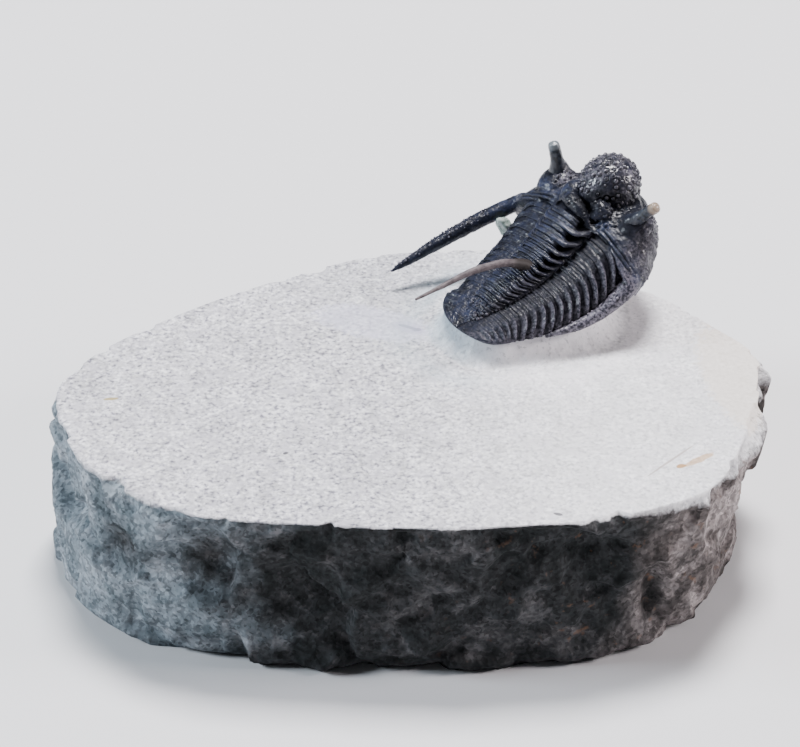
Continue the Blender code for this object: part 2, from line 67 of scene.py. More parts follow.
def smoothCurve(x, knots):
    # a smooth curve through the knots ((x...), (y...)), level beyond its ends
    xs, ys = (np.asarray(k, float) for k in knots)
    slopes = np.gradient(ys, xs)
    x = np.clip(np.asarray(x, float), xs[0], xs[-1])
    i = np.clip(np.searchsorted(xs, x, side="right") - 1, 0, len(xs) - 2)
    width = xs[i + 1] - xs[i]
    t = (x - xs[i]) / width
    return (ys[i] * (1 + 2 * t) * (1 - t) ** 2 + slopes[i] * width * t * (1 - t) ** 2
            + ys[i + 1] * t * t * (3 - 2 * t) + slopes[i + 1] * width * t * t * (t - 1))


def smoothStep(x, low, high):
    t = np.clip((x - low) / (high - low), 0.0, 1.0)
    return t * t * (3 - 2 * t)


def bell(x, centre, width):
    return np.exp(-((x - centre) / width) ** 2)


def bodyLine():
    s = np.linspace(-1.0, 24.0, 501)
    pitch = np.radians(np.interp(s, body["pitchAt"], body["pitch"]))
    middle = (pitch[1:] + pitch[:-1]) / 2
    run, rise = (np.concatenate([[0.0], np.cumsum(part * (s[1] - s[0]))])
                 for part in (np.cos(middle), np.sin(middle)))
    return s, pitch, run - np.interp(0.0, s, run), rise - np.interp(0.0, s, rise)


lineS, linePitch, lineRun, lineRise = bodyLine()
heading, roll = radians(body["heading"]), radians(body["roll"])
forward = np.array([sin(heading), cos(heading), 0.0])
across = np.array([cos(heading), -sin(heading), 0.0])
upward = np.array([0.0, 0.0, 1.0])
tailAt = np.array(body["tailAt"])


def bodyAxes(s):
    # middle line, side and normal at s
    pitch, run, rise = (np.interp(s, lineS, line)[..., None] for line in (linePitch, lineRun, lineRise))
    normal = -np.sin(pitch) * forward + np.cos(pitch) * upward
    side = cos(roll) * across - sin(roll) * normal
    normal = cos(roll) * normal + sin(roll) * across
    return tailAt + run * forward + rise * upward, side, normal


def onBody(s, u, h):
    s, u, h = np.broadcast_arrays(*(np.asarray(v, float) for v in (s, u, h)))
    line, side, normal = bodyAxes(s)
    return line + u[..., None] * side + h[..., None] * normal


def bodyMeasures(points):
    # s, u and h of world points, by moving along the middle line to the nearest station
    s = np.interp((points - tailAt) @ forward, lineRun, lineS)
    for step in range(6):
        line, side, normal = bodyAxes(s)
        pitch = np.interp(s, lineS, linePitch)[:, None]
        tangent = np.cos(pitch) * forward + np.sin(pitch) * upward
        s = s + 0.8 * np.sum((points - line) * tangent, axis=1)
    line, side, normal = bodyAxes(s)
    return s, np.sum((points - line) * side, axis=1), np.sum((points - line) * normal, axis=1)


def alongThorax(s):
    return (np.asarray(s, float) - body["tailLength"]) / body["thoraxLength"]


def segmentEdges():
    # front edge of each segment from the neck back, and the rear edge of the last
    lengths = body["segmentRatio"] ** np.arange(body["segments"])
    lengths *= body["thoraxLength"] / lengths.sum()
    return neck - np.concatenate([[0.0], np.cumsum(lengths)])


def halfWidth(s):
    share = 1 - np.clip(np.asarray(s, float) / body["tailLength"], 0, 1)
    rounding = np.sqrt(np.clip(1 - share ** body["tailRoundness"], 0, 1))
    return smoothCurve(alongThorax(s), body["halfWidth"]) * rounding


def roughness(points, size, octaves=3, seed=0):
    # seeded fractal noise at points in millimetres, about -1 to 1
    shift = Vector((17.3 * seed, 5.1 - seed, 2.7 * seed))
    flat = (np.asarray(points, float) / size).reshape(-1, 3)
    values = np.array([noise.fractal(Vector(p) + shift, 1.0, 2.0, octaves) for p in flat])
    return values.reshape(np.shape(points)[:-1])


# meshes are first made in millimetres
def meshPiece(name, points, faces):
    mesh = bpy.data.meshes.new(name)
    mesh.from_pydata(np.asarray(points).tolist(), [], faces)
    mesh.shade_smooth()
    return bpy.data.objects.new(name, mesh)


def signedVolume(points, faces):
    total = 0.0
    for face in faces:
        a = points[face[0]]
        for b, c in zip(face[1:-1], face[2:]):
            total += float(np.dot(a, np.cross(points[b], points[c])))
    return total


def closedLoft(name, rings, firstPole, lastPole):
    # a closed skin over rings of equally many points, ended in a point each way
    rows, around = rings.shape[:2]
    points = np.vstack([rings.reshape(-1, 3), firstPole, lastPole])
    i, j = np.meshgrid(np.arange(rows - 1), np.arange(around), indexing="ij")
    k = (j + 1) % around
    quads = np.stack([i * around + j, i * around + k, (i + 1) * around + k, (i + 1) * around + j], -1)
    faces = quads.reshape(-1, 4).tolist()
    last = (rows - 1) * around
    for j in range(around):
        k = (j + 1) % around
        faces.append([rows * around, k, j])
        faces.append([rows * around + 1, last + j, last + k])
    if signedVolume(points - points.mean(axis=0), faces) < 0:
        faces = [face[::-1] for face in faces]
    return meshPiece(name, points, faces)


def tube(name, path, radii, sides=24):
    # a closed round rod along a path, with rounded ends
    path, radii = np.asarray(path, float), np.asarray(radii, float)
    tangents = np.gradient(path, axis=0)
    tangents /= np.linalg.norm(tangents, axis=1, keepdims=True)
    turn = np.arange(sides) * 2 * pi / sides
    rings = []
    for place, tangent, radius in zip(path, tangents, radii):
        sideways = np.cross(tangent, upward + 0.01 * forward)
        sideways /= np.linalg.norm(sideways)
        above = np.cross(sideways, tangent)
        rings.append(place + radius * (np.cos(turn)[:, None] * sideways + np.sin(turn)[:, None] * above))
    first, last = path[0] - tangents[0] * radii[0] * 0.5, path[-1] + tangents[-1] * radii[-1] * 0.5
    return closedLoft(name, np.array(rings), first, last)


def easedPath(points, radii, steps):
    points = np.asarray(points, float)
    known = np.arange(len(points), dtype=float)
    fine = np.linspace(0, len(points) - 1, (len(points) - 1) * steps + 1)
    path = np.stack([smoothCurve(fine, (known, points[:, k])) for k in range(3)], axis=1)
    return path, smoothCurve(fine, (known, radii))


def skinOf(piece):
    # places and normals of all points
    found = []
    for source, key in ((piece.data.vertices, "co"), (piece.data.vertex_normals, "vector")):
        flat = np.zeros(len(source) * 3)
        source.foreach_get(key, flat)
        found.append(flat.reshape(-1, 3))
    return found


def movePoints(piece, points):
    piece.data.vertices.foreach_set("co", np.asarray(points, float).ravel())
    piece.data.update()


def paint(piece, **masks):
    # numbers at each point, which materials and node trees read by name
    for name, values in masks.items():
        layer = piece.data.attributes.get(name) or piece.data.attributes.new(name, "FLOAT", "POINT")
        layer.data.foreach_set("value", np.clip(values, 0, 1).astype(np.float32))


def appliedMesh(piece, name):
    # the evaluated mesh as a plain one, with the modifiers gone
    addToScene(piece)
    evaluated = piece.evaluated_get(bpy.context.evaluated_depsgraph_get())
    mesh = bpy.data.meshes.new_from_object(evaluated)
    bpy.data.objects.remove(piece)
    mesh.name = name
    return bpy.data.objects.new(name, mesh)


def fused(name, pieces, grain, smoothing):
    # overlapping closed pieces grown together into one skin
    points, faces, start = [], [], 0
    for piece in pieces:
        points.append(skinOf(piece)[0])
        faces += [[start + v for v in polygon.vertices] for polygon in piece.data.polygons]
        start += len(piece.data.vertices)
        bpy.data.objects.remove(piece)
    whole = meshPiece(name, np.vstack(points), faces)
    remesh = whole.modifiers.new("grow_together", "REMESH")
    remesh.mode = "VOXEL"
    remesh.voxel_size = grain
    remesh.use_smooth_shade = True
    smooth = whole.modifiers.new("soften", "SMOOTH")
    smooth.factor = 0.5
    smooth.iterations = smoothing
    return appliedMesh(whole, name)


def scatterPlaces(points, chance, spacing, seed):
    # points of a skin at least the spacing apart, thinner where the chance is low
    chooser = np.random.default_rng(seed)
    order = chooser.permutation(np.nonzero(chance > chooser.random(len(points)))[0])
    taken, chosen = {}, []
    for i in order:
        cell = tuple((points[i] // spacing).astype(int))
        near = [taken.get((cell[0] + x, cell[1] + y, cell[2] + z))
                for x in (-1, 0, 1) for y in (-1, 0, 1) for z in (-1, 0, 1)]
        if all(k is None or np.linalg.norm(points[k] - points[i]) > spacing for k in near):
            taken[cell] = i
            chosen.append(i)
    return np.array(chosen, int), chooser


def raiseTubercles(piece, chance, spacing, size, height, moat, seed):
    # round warts pressed up from the skin, each in its own shallow moat
    points, normals = skinOf(piece)
    chosen, chooser = scatterPlaces(points, chance, spacing, seed)
    tree = kdtree.KDTree(len(points))
    for i, point in enumerate(points):
        tree.insert(point, i)
    tree.balance()
    lift, dip, knob = (np.zeros(len(points)) for k in range(3))
    for i in chosen:
        radius = size * chooser.uniform(0.6, 1.2)
        tall = radius * height * chooser.uniform(0.8, 1.15)
        for place, k, away in tree.find_range(points[i], radius * 1.8):
            d = away / radius
            lift[k] = max(lift[k], tall * max(0.0, 1 - d * d) ** 0.6)
            dip[k] = max(dip[k], moat * radius * float(bell(d, 1.25, 0.3)) * (d > 0.9))
            knob[k] = max(knob[k], 1 - d)
    rise = np.where(lift > 0, lift, -dip)
    movePoints(piece, points + normals * rise[:, None])
    paint(piece, knob=knob)
    return dip, knob


def addToScene(piece):
    bpy.context.scene.collection.objects.link(piece)


def handOver(piece, material, node=None):
    # to metres, into the scene and onto the fixed frame
    piece.data.transform(Matrix.Scale(mm, 4))
    piece.data.materials.clear()
    piece.data.materials.append(material)
    piece.data.shade_smooth()
    addToScene(piece)
    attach(piece, "root")
    if node:
        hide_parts(node)
    print(piece.name, sum(len(face.vertices) - 2 for face in piece.data.polygons), "triangles")
    return piece


# materials
def newMaterial(name):
    material = bpy.data.materials.new(name)
    material.use_nodes = True
    tree = material.node_tree
    return material, tree, tree.nodes["Principled BSDF"]


def fill(socket, value):
    # a plain value, or a link from another node
    if isinstance(value, bpy.types.NodeSocket):
        socket.id_data.links.new(value, socket)
    else:
        socket.default_value = value


def finish(node, values):
    for name, value in values.items():
        fill(node.inputs[name], value)


def addNode(tree, kind, settings=None, **inputs):
    # one node, its settings, and its inputs by name or, as in i0, by number
    node = tree.nodes.new(kind)
    for key, value in (settings or {}).items():
        setattr(node, key, value)
    for key, value in inputs.items():
        fill(node.inputs[int(key[1:]) if key[0] == "i" and key[1:].isdigit() else key], value)
    return node


def objectPlace(tree):
    return addNode(tree, "ShaderNodeTexCoord").outputs["Object"]


def grainOf(tree, size, detail=3.0, coarse=0.6):
    # noise whose lumps are about size millimetres, in the object's own coordinates
    return addNode(tree, "ShaderNodeTexNoise", Vector=objectPlace(tree), Scale=metre / size,
                   Detail=detail, Roughness=coarse).outputs["Fac"]


def ramp(tree, value, *stops):
    # stops: (position, grey or (r, g, b))
    node = addNode(tree, "ShaderNodeValToRGB", Fac=value)
    elements = node.color_ramp.elements
    while len(elements) < len(stops):
        elements.new(0.5)
    for element, (position, colour) in zip(elements, stops):
        element.position = position
        colour = (colour,) * 3 if isinstance(colour, (int, float)) else colour
        element.color = (*colour, 1.0)
    return node.outputs["Color"]


def mixed(tree, share, first, second, blend="MIX"):
    node = addNode(tree, "ShaderNodeMix", {"data_type": "RGBA", "blend_type": blend}, i0=share)
    for socket, value in ((node.inputs[6], first), (node.inputs[7], second)):
        fill(socket, (*value, 1.0) if isinstance(value, tuple) else value)
    return node.outputs[2]


def layered(tree, colour, *layers):
    # layers: (share, colour over it, and a blend that isn't a plain mix)
    for share, over, *blend in layers:
        colour = mixed(tree, share, colour, over, *blend)
    return colour


def sums(tree, kind, first, *others):
    # one step after another, kept from 0 to 1 unless it adds
    settings = {"operation": kind, "use_clamp": kind != "ADD"}
    for other in others:
        first = addNode(tree, "ShaderNodeMath", settings, i0=first, i1=other).outputs[0]
    return first


def times(tree, *values):
    return sums(tree, "MULTIPLY", *values)


def painted(tree, name, share=None):
    # what paint() stored under the name, or a share of it
    value = addNode(tree, "ShaderNodeAttribute", {"attribute_name": name}).outputs["Fac"]
    return value if share is None else times(tree, value, share)


def bumped(tree, shader, *layers):
    # layers: (height, strength, distance in millimetres), one over the other
    below = {}
    for height, strength, distance in layers:
        bump = addNode(tree, "ShaderNodeBump", Height=height, Strength=strength, Distance=distance * mm,
                       **below)
        below = {"Normal": bump.outputs["Normal"]}
    finish(shader, below)


def fossilMaterial(name, dark, slate, lilac, gloss, coat):
    # blue-black calcite: slate where painted pale, its own tone with painted reflection and painted
    # highlight; lilac painted highlight where it is granular; near black and dull painted shade in its
    # hollows
    material, tree, shader = newMaterial(name)
    cloud = ramp(tree, grainOf(tree, 0.7, 5.0, 0.7), (0.38, 0.1), (0.62, 1.0))
    sugar = ramp(tree, grainOf(tree, 0.22, 2.0), (0.4, 0.1), (0.62, 1.0))
    colour = layered(tree, dark, (painted(tree, "pale", cloud), slate),
                     (painted(tree, "lilac", sugar), lilac),
                     (painted(tree, "hollow"), (0.0015, 0.0015, 0.002)))
    rough = times(tree, grainOf(tree, 0.3, 4.0), 0.45)
    rough = sums(tree, "ADD", rough, gloss - 0.2, painted(tree, "hollow", 0.5))
    rough = sums(tree, "SUBTRACT", rough, painted(tree, "knob", 0.12))
    rough = sums(tree, "ADD", rough, painted(tree, "dull", 0.2))
    bare = sums(tree, "SUBTRACT", 1.0, painted(tree, "hollow"), painted(tree, "dull", 0.5))
    finish(shader, {"Base Color": colour, "Roughness": rough, "Coat Weight": times(tree, bare, coat),
                    "Coat Roughness": 0.12, "Specular IOR Level": times(tree, bare, 0.25)})
    bumped(tree, shader, (grainOf(tree, 0.5, 3.0), 0.7, 0.14), (grainOf(tree, 0.2, 1.0), 0.6, 0.05))
    return material


def spot(tree, x, y, long, wide, turn, ragged=0.6):
    # a ragged oval mark on the top, 1 inside it, from its centre and half sizes in millimetres
    place = objectPlace(tree)
    place = addNode(tree, "ShaderNodeMapping", {"vector_type": "TEXTURE"}, Vector=place,
                    Location=(x * mm, y * mm, stone["top"] * mm), Rotation=(0, 0, radians(turn)),
                    Scale=(long * mm, wide * mm, 2.0 * mm)).outputs[0]
    away = addNode(tree, "ShaderNodeVectorMath", {"operation": "LENGTH"}, i0=place).outputs["Value"]
    edge = times(tree, grainOf(tree, 0.5, 3.0), ragged)
    return ramp(tree, sums(tree, "ADD", away, edge), (0.55 + ragged / 2, 1.0), (0.95 + ragged / 2, 0.0))


def crystals(tree, size):
    # one random tone for each small grain, 0 to 1
    cells = addNode(tree, "ShaderNodeTexVoronoi", Vector=objectPlace(tree), Scale=metre / size)
    return addNode(tree, "ShaderNodeSeparateXYZ", i0=cells.outputs["Color"]).outputs["X"]


def chipsOf(tree, size):
    # shallow hollows with sharp ridges between them
    place = objectPlace(tree)
    sway = addNode(tree, "ShaderNodeTexNoise", Vector=place, Scale=metre / size, Detail=2.0).outputs["Color"]
    sway = addNode(tree, "ShaderNodeVectorMath", {"operation": "SCALE"}, i0=sway, i3=0.9 * size * mm)
    place = addNode(tree, "ShaderNodeVectorMath", {"operation": "ADD"}, i0=place, i1=sway.outputs[0])
    cells = addNode(tree, "ShaderNodeTexVoronoi", Vector=place.outputs[0], Scale=metre / size)
    return cells.outputs["Distance"]


def speckles(tree, apart):
    # scattered dots of many sizes, 1 inside them, in a third of all cells
    cells = addNode(tree, "ShaderNodeTexVoronoi", Vector=objectPlace(tree), Scale=metre / apart)
    chance = addNode(tree, "ShaderNodeSeparateXYZ", i0=cells.outputs["Color"]).outputs["X"]
    reach = times(tree, sums(tree, "SUBTRACT", chance, 0.62), 0.9)
    inside = addNode(tree, "ShaderNodeMath", {"operation": "SUBTRACT"}, i0=reach,
                     i1=cells.outputs["Distance"])
    return ramp(tree, inside.outputs[0], (0.0, 0.0), (0.06, 1.0))


stoneMarks = {      # x, y, half length, half width, turn, colour, strength
    "scratchHalo": (-0.1, 7.3, 2.3, 1.1, -28.0, (0.36, 0.33, 0.46), 0.55),
    "scratch": (-0.1, 7.35, 1.5, 0.32, -28.0, (0.05, 0.045, 0.07), 0.95),
    "scratchEnd": (0.55, 7.0, 0.6, 0.36, 10.0, (0.06, 0.05, 0.08), 0.9),
    "dent": (-9.4, -9.6, 0.35, 0.25, 20.0, (0.09, 0.09, 0.1), 0.9),
    "comma": (10.7, -17.0, 0.6, 0.25, -20.0, (0.12, 0.12, 0.13), 0.9),
    "fleck": (-23.2, -2.6, 0.9, 0.28, 8.0, (0.36, 0.3, 0.15), 0.95),
    "ochre": (21.6, -10.4, 2.3, 0.5, 36.0, (0.5, 0.3, 0.14), 0.7),
    "ochreSpeck": (20.2, -11.2, 0.6, 0.4, 20.0, (0.42, 0.25, 0.12), 0.95),
    "hairline": (19.4, -10.6, 4.4, 0.15, 46.0, (0.4, 0.35, 0.33), 0.8),
    "bluish": (-3.0, 8.0, 8.0, 3.5, -20.0, (0.6, 0.6, 0.74), 0.5),
    "warmEdge": (25.6, 0.5, 4.2, 12.0, 8.0, (0.74, 0.66, 0.57), 0.6),
}


stoneTones = {      # stops of each ramp, and plain colours
    "powder": ((0.3, (0.25, 0.245, 0.29)), (0.44, (0.6, 0.595, 0.64)), (0.56, (0.79, 0.785, 0.815)),
               (0.7, (0.93, 0.925, 0.935))),
    "speck": (0.2, 0.2, 0.24),
    "patch": (0.5, 0.49, 0.53),
    "sunny": (0.96, 0.95, 0.95),
    "slopeEast": (0.95, 0.92, 0.95),
    "slopeWest": (0.4, 0.49, 0.55),
    "slopeSpeck": (0.14, 0.14, 0.16),
    "west": ((0.3, (0.15, 0.19, 0.215)), (0.5, (0.27, 0.32, 0.36)), (0.7, (0.45, 0.5, 0.55))),
    "east": ((0.33, (0.05, 0.042, 0.04)), (0.5, (0.175, 0.15, 0.145)), (0.68, (0.48, 0.42, 0.41))),
    "shadedWall": ((0.35, (0.017, 0.02, 0.021)), (0.55, (0.042, 0.044, 0.047)), (0.7, (0.12, 0.117, 0.122))),
    "rust": (0.16, 0.085, 0.05),
}


def powderColour(tree):
    # fine pale grain with its marks, greyer on the mound
    powder = ramp(tree, grainOf(tree, 0.34, 1.5, 0.6), *stoneTones["powder"])
    clouds = mixed(tree, 0.5, ramp(tree, grainOf(tree, 2.4, 4.0, 0.7), (0.34, 0.72), (0.6, 1.0)),
                   ramp(tree, grainOf(tree, 11.0), (0.35, 0.84), (0.65, 1.0)), "MULTIPLY")
    grains = ramp(tree, crystals(tree, 0.3), (0.0, 0.66), (0.8, 1.0))
    patches = ramp(tree, grainOf(tree, 1.1, 3.0, 0.7), (0.5, 0.0), (0.66, 0.75))
    powder = layered(tree, powder, (1.0, clouds, "MULTIPLY"), (1.0, grains, "MULTIPLY"),
                     (times(tree, speckles(tree, 0.5), 0.3), stoneTones["speck"]),
                     (patches, stoneTones["patch"]), (painted(tree, "east", 0.4), stoneTones["sunny"]))
    for x, y, long, wide, turn, colour, strength in stoneMarks.values():
        mark = times(tree, spot(tree, x, y, long, wide, turn), strength)
        powder = mixed(tree, mark, powder, colour)
    coarse = ramp(tree, grainOf(tree, 0.35, 2.0), (0.58, 0.0), (0.64, 1.0))
    slope = mixed(tree, painted(tree, "tailSide"), stoneTones["slopeEast"], stoneTones["slopeWest"])
    slope = mixed(tree, times(tree, coarse, 0.4), slope, stoneTones["slopeSpeck"])
    return mixed(tree, painted(tree, "mound", 0.8), powder, slope)


def brokenColour(tree):
    # blue grey by the tail, brown grey by the head, and painted shade on the near wall between them
    lumps = times(tree, grainOf(tree, 1.6, 3.0, 0.6), 0.72)
    lumps = sums(tree, "ADD", lumps, painted(tree, "facet", 0.28))
    west, east, shadedWall = (ramp(tree, lumps, *stoneTones[side]) for side in ("west", "east", "shadedWall"))
    sugar = ramp(tree, crystals(tree, 0.26), (0.0, 0.38), (1.0, 1.0))
    rust = ramp(tree, grainOf(tree, 1.3, 3.0), (0.64, 0.0), (0.72, 1.0))
    rust = times(tree, rust, painted(tree, "east"), 0.55)
    return layered(tree, west, (painted(tree, "east"), east), (painted(tree, "dark"), shadedWall),
                   (1.0, sugar, "MULTIPLY"), (rust, stoneTones["rust"]))


def stoneMaterial():
    # pale where it was ground flat, granular where it is broken, and darker there from its own tone and
    # painted shade
    material, tree, shader = newMaterial("matrix_limestone")
    dust = times(tree, grainOf(tree, 0.6, 4.0), 0.9)
    dust = ramp(tree, sums(tree, "SUBTRACT", painted(tree, "prepared"), dust), (0.0, 0.0), (0.35, 1.0))
    whole = ramp(tree, painted(tree, "prepared"), (0.93, 0.0), (1.0, 1.0))
    dust = sums(tree, "MAXIMUM", dust, whole)
    colour = mixed(tree, dust, brokenColour(tree), powderColour(tree))
    finish(shader, {"Base Color": colour, "Roughness": 0.85, "Specular IOR Level": 0.18})
    chipped = times(tree, chipsOf(tree, 1.4), sums(tree, "SUBTRACT", 1.0, dust))
    bumped(tree, shader, (chipped, 0.8, 0.45), (crystals(tree, 0.3), 0.3, 0.05))
    return material


# the stone
stone = {
    "top": 14.0,
    "outline": (
        (-27.6, -2.1), (-25.2, 3.3), (-20.0, 8.3), (-13.5, 12.9), (-4.6, 17.6), (1.7, 18.9),
        (8.0, 19.1), (14.2, 18.4), (18.9, 13.4), (24.7, 8.0), (28.3, 3.0), (27.9, -2.7),
        (25.0, -10.5), (22.0, -14.3), (15.4, -17.3), (7.9, -18.5), (-1.1, -18.7), (-11.7, -17.9),
        (-16.5, -17.0), (-21.0, -14.2), (-25.4, -9.6)),
    "spokes": 800,
    "wallRows": 64,
    "leanEast": 2.6,
    "leanWest": -0.8,
    "carriesAt": 8.6,           # along the animal, over the middle of its pedestal
    "pedestalEnd": 15.0,
    "inset": ((0.0, 8.0, 10.0, 12.0, 13.5, 15.0), (0.4, 0.7, 1.2, 2.6, 4.0, 5.2)),
    "flare": 1.0,
    "flareLimit": 2.6,
    "edgeBelow": 0.3,           # the shell's edge under its middle line
    "headBelow": 1.1,           # and how much more under the head
    "sunk": 0.12,               # of the shell's edge in the stone
    "chips": ((7.0, 1.3), (2.8, 0.6), (1.1, 0.1)),        # size and lift of the broken flats
    "crumble": 0.09,
    "standsOut": 0.45,          # at most, past the rim
    "footRound": 0.8,
    "rimChips": 1.3,
    "rimWear": 0.9,             # more at the head's end
    "moundCurve": 2.2,
    "moundLumps": 0.13,
    "swell": 0.05,              # of the ground top, and its grit
    "grit": 0.015,
    "scallops": (               # x, z, half width, half height and depth, on the near side
        (-21.4, 8.2, 1.9, 2.5, 1.0), (-15.6, 9.0, 2.3, 3.3, 1.1), (13.6, 9.3, 2.7, 3.4, 1.0),
        (5.0, 9.0, 4.2, 4.0, 0.7), (2.6, 2.2, 1.5, 1.0, 0.8), (18.4, 6.0, 0.9, 3.0, 0.6),
        (-8.5, 8.0, 3.5, 3.2, 0.8)),
    "paleTop": ((-30.0, -20.0, -14.0, 8.0, 16.0, 24.0, 30.0), (1.0, 0.8, 0.3, 0.25, 0.8, 3.2, 4.6)),
    # painted shade on the near wall, along x
    "wallShading": ((-24.0, -18.0, -12.0, -8.0, 12.0, 16.0, 19.0, 22.0),
                 (0.1, 0.15, 0.75, 1.0, 1.0, 0.75, 0.35, 0.1)),
}


def pedestalTop(x, y):
    offset = np.stack([x - tailAt[0], y - tailAt[1]], axis=-1)
    run, sideways = offset @ forward[:2], offset @ across[:2]
    s = np.interp(run, lineRun, lineS)
    depth = stone["edgeBelow"] + stone["headBelow"] * smoothStep(s, neck - 2.5, neck - 1.0) - stone["sunk"]
    rise = np.interp(run, lineRun, lineRise)
    return tailAt[2] + rise - sideways * sin(roll) - depth / np.cos(np.interp(s, lineS, linePitch))


def reachOf(outline, centre, directions):
    # how far a closed outline is from the centre, in each direction
    start = outline - centre
    edge = np.roll(start, -1, axis=0) - start
    far = []
    for direction in directions:
        cross = edge[:, 0] * direction[1] - edge[:, 1] * direction[0]
        cross = np.where(np.abs(cross) < 1e-12, 1e-12, cross)
        reach = (edge[:, 0] * start[:, 1] - edge[:, 1] * start[:, 0]) / cross
        share = (direction[0] * start[:, 1] - direction[1] * start[:, 0]) / cross
        far.append(reach[(share >= 0) & (share <= 1) & (reach > 0)].max())
    return np.array(far)


def stoneRim():
    # the upper edge at even steps
    points = np.array(stone["outline"])
    wrapped = np.vstack([points[-3:], points, points[:4]])
    place = np.arange(-3, len(points) + 4, dtype=float)
    fine = np.linspace(0, len(points), 4000)
    line = np.stack([smoothCurve(fine, (place, wrapped[:, k])) for k in range(2)], axis=1)
    length = np.concatenate([[0], np.cumsum(np.linalg.norm(np.diff(line, axis=0), axis=1))])
    even = np.linspace(0, length[-1], stone["spokes"], endpoint=False)
    return np.stack([np.interp(even, length, line[:, k]) for k in range(2)], axis=1)


def brokenFlats(place, size, lift):
    # tilted flat chips with short steps between them
    heights = []
    for point in place / size:
        point = Vector(point)
        distances, cores = noise.voronoi(point)
        pair = []
        for core in cores[:2]:
            tilt = noise.cell_vector(core * 9.7) - Vector((0.5, 0.5, 0.5))
            pair.append((point - core).dot(tilt) * 1.6 + tilt.x)
        share = 0.5 + 0.5 * min(1.0, (distances[1] - distances[0]) / 0.14)
        heights.append(pair[0] * share + pair[1] * (1 - share))
    return lift * np.array(heights)


def warpedPlace(place):
    return place + 0.4 * np.column_stack([roughness(place, 3.0, 2, seed) for seed in (6, 7, 8)])


def flatTones(place):
    # one tone for each broken flat, 0 to 1
    tones = np.zeros(len(place))
    for size, lift in stone["chips"][:2]:
        cores = [noise.voronoi(Vector(point))[1][0] for point in warpedPlace(place) / size]
        tones += [noise.cell(core * 7.3) / 2 for core in cores]
    return (tones - tones.min()) / np.ptp(tones)


def brokenSide(place):
    # how far the side lies in from the rim: flats, shell-shaped hollows and crumbling
    warped = warpedPlace(place)
    depth = sum(brokenFlats(warped, size, lift) for size, lift in stone["chips"])
    near = place[:, 1] < 0
    for x, z, wide, high, deep in stone["scallops"]:
        away = ((warped[:, 0] - x) / wide) ** 2 + ((warped[:, 2] - z) / high) ** 2
        depth = depth + near * deep * np.clip(1 - away, 0, 1) ** 0.7
    return depth + stone["crumble"] * roughness(place, 0.9, 4, 2) + 0.3


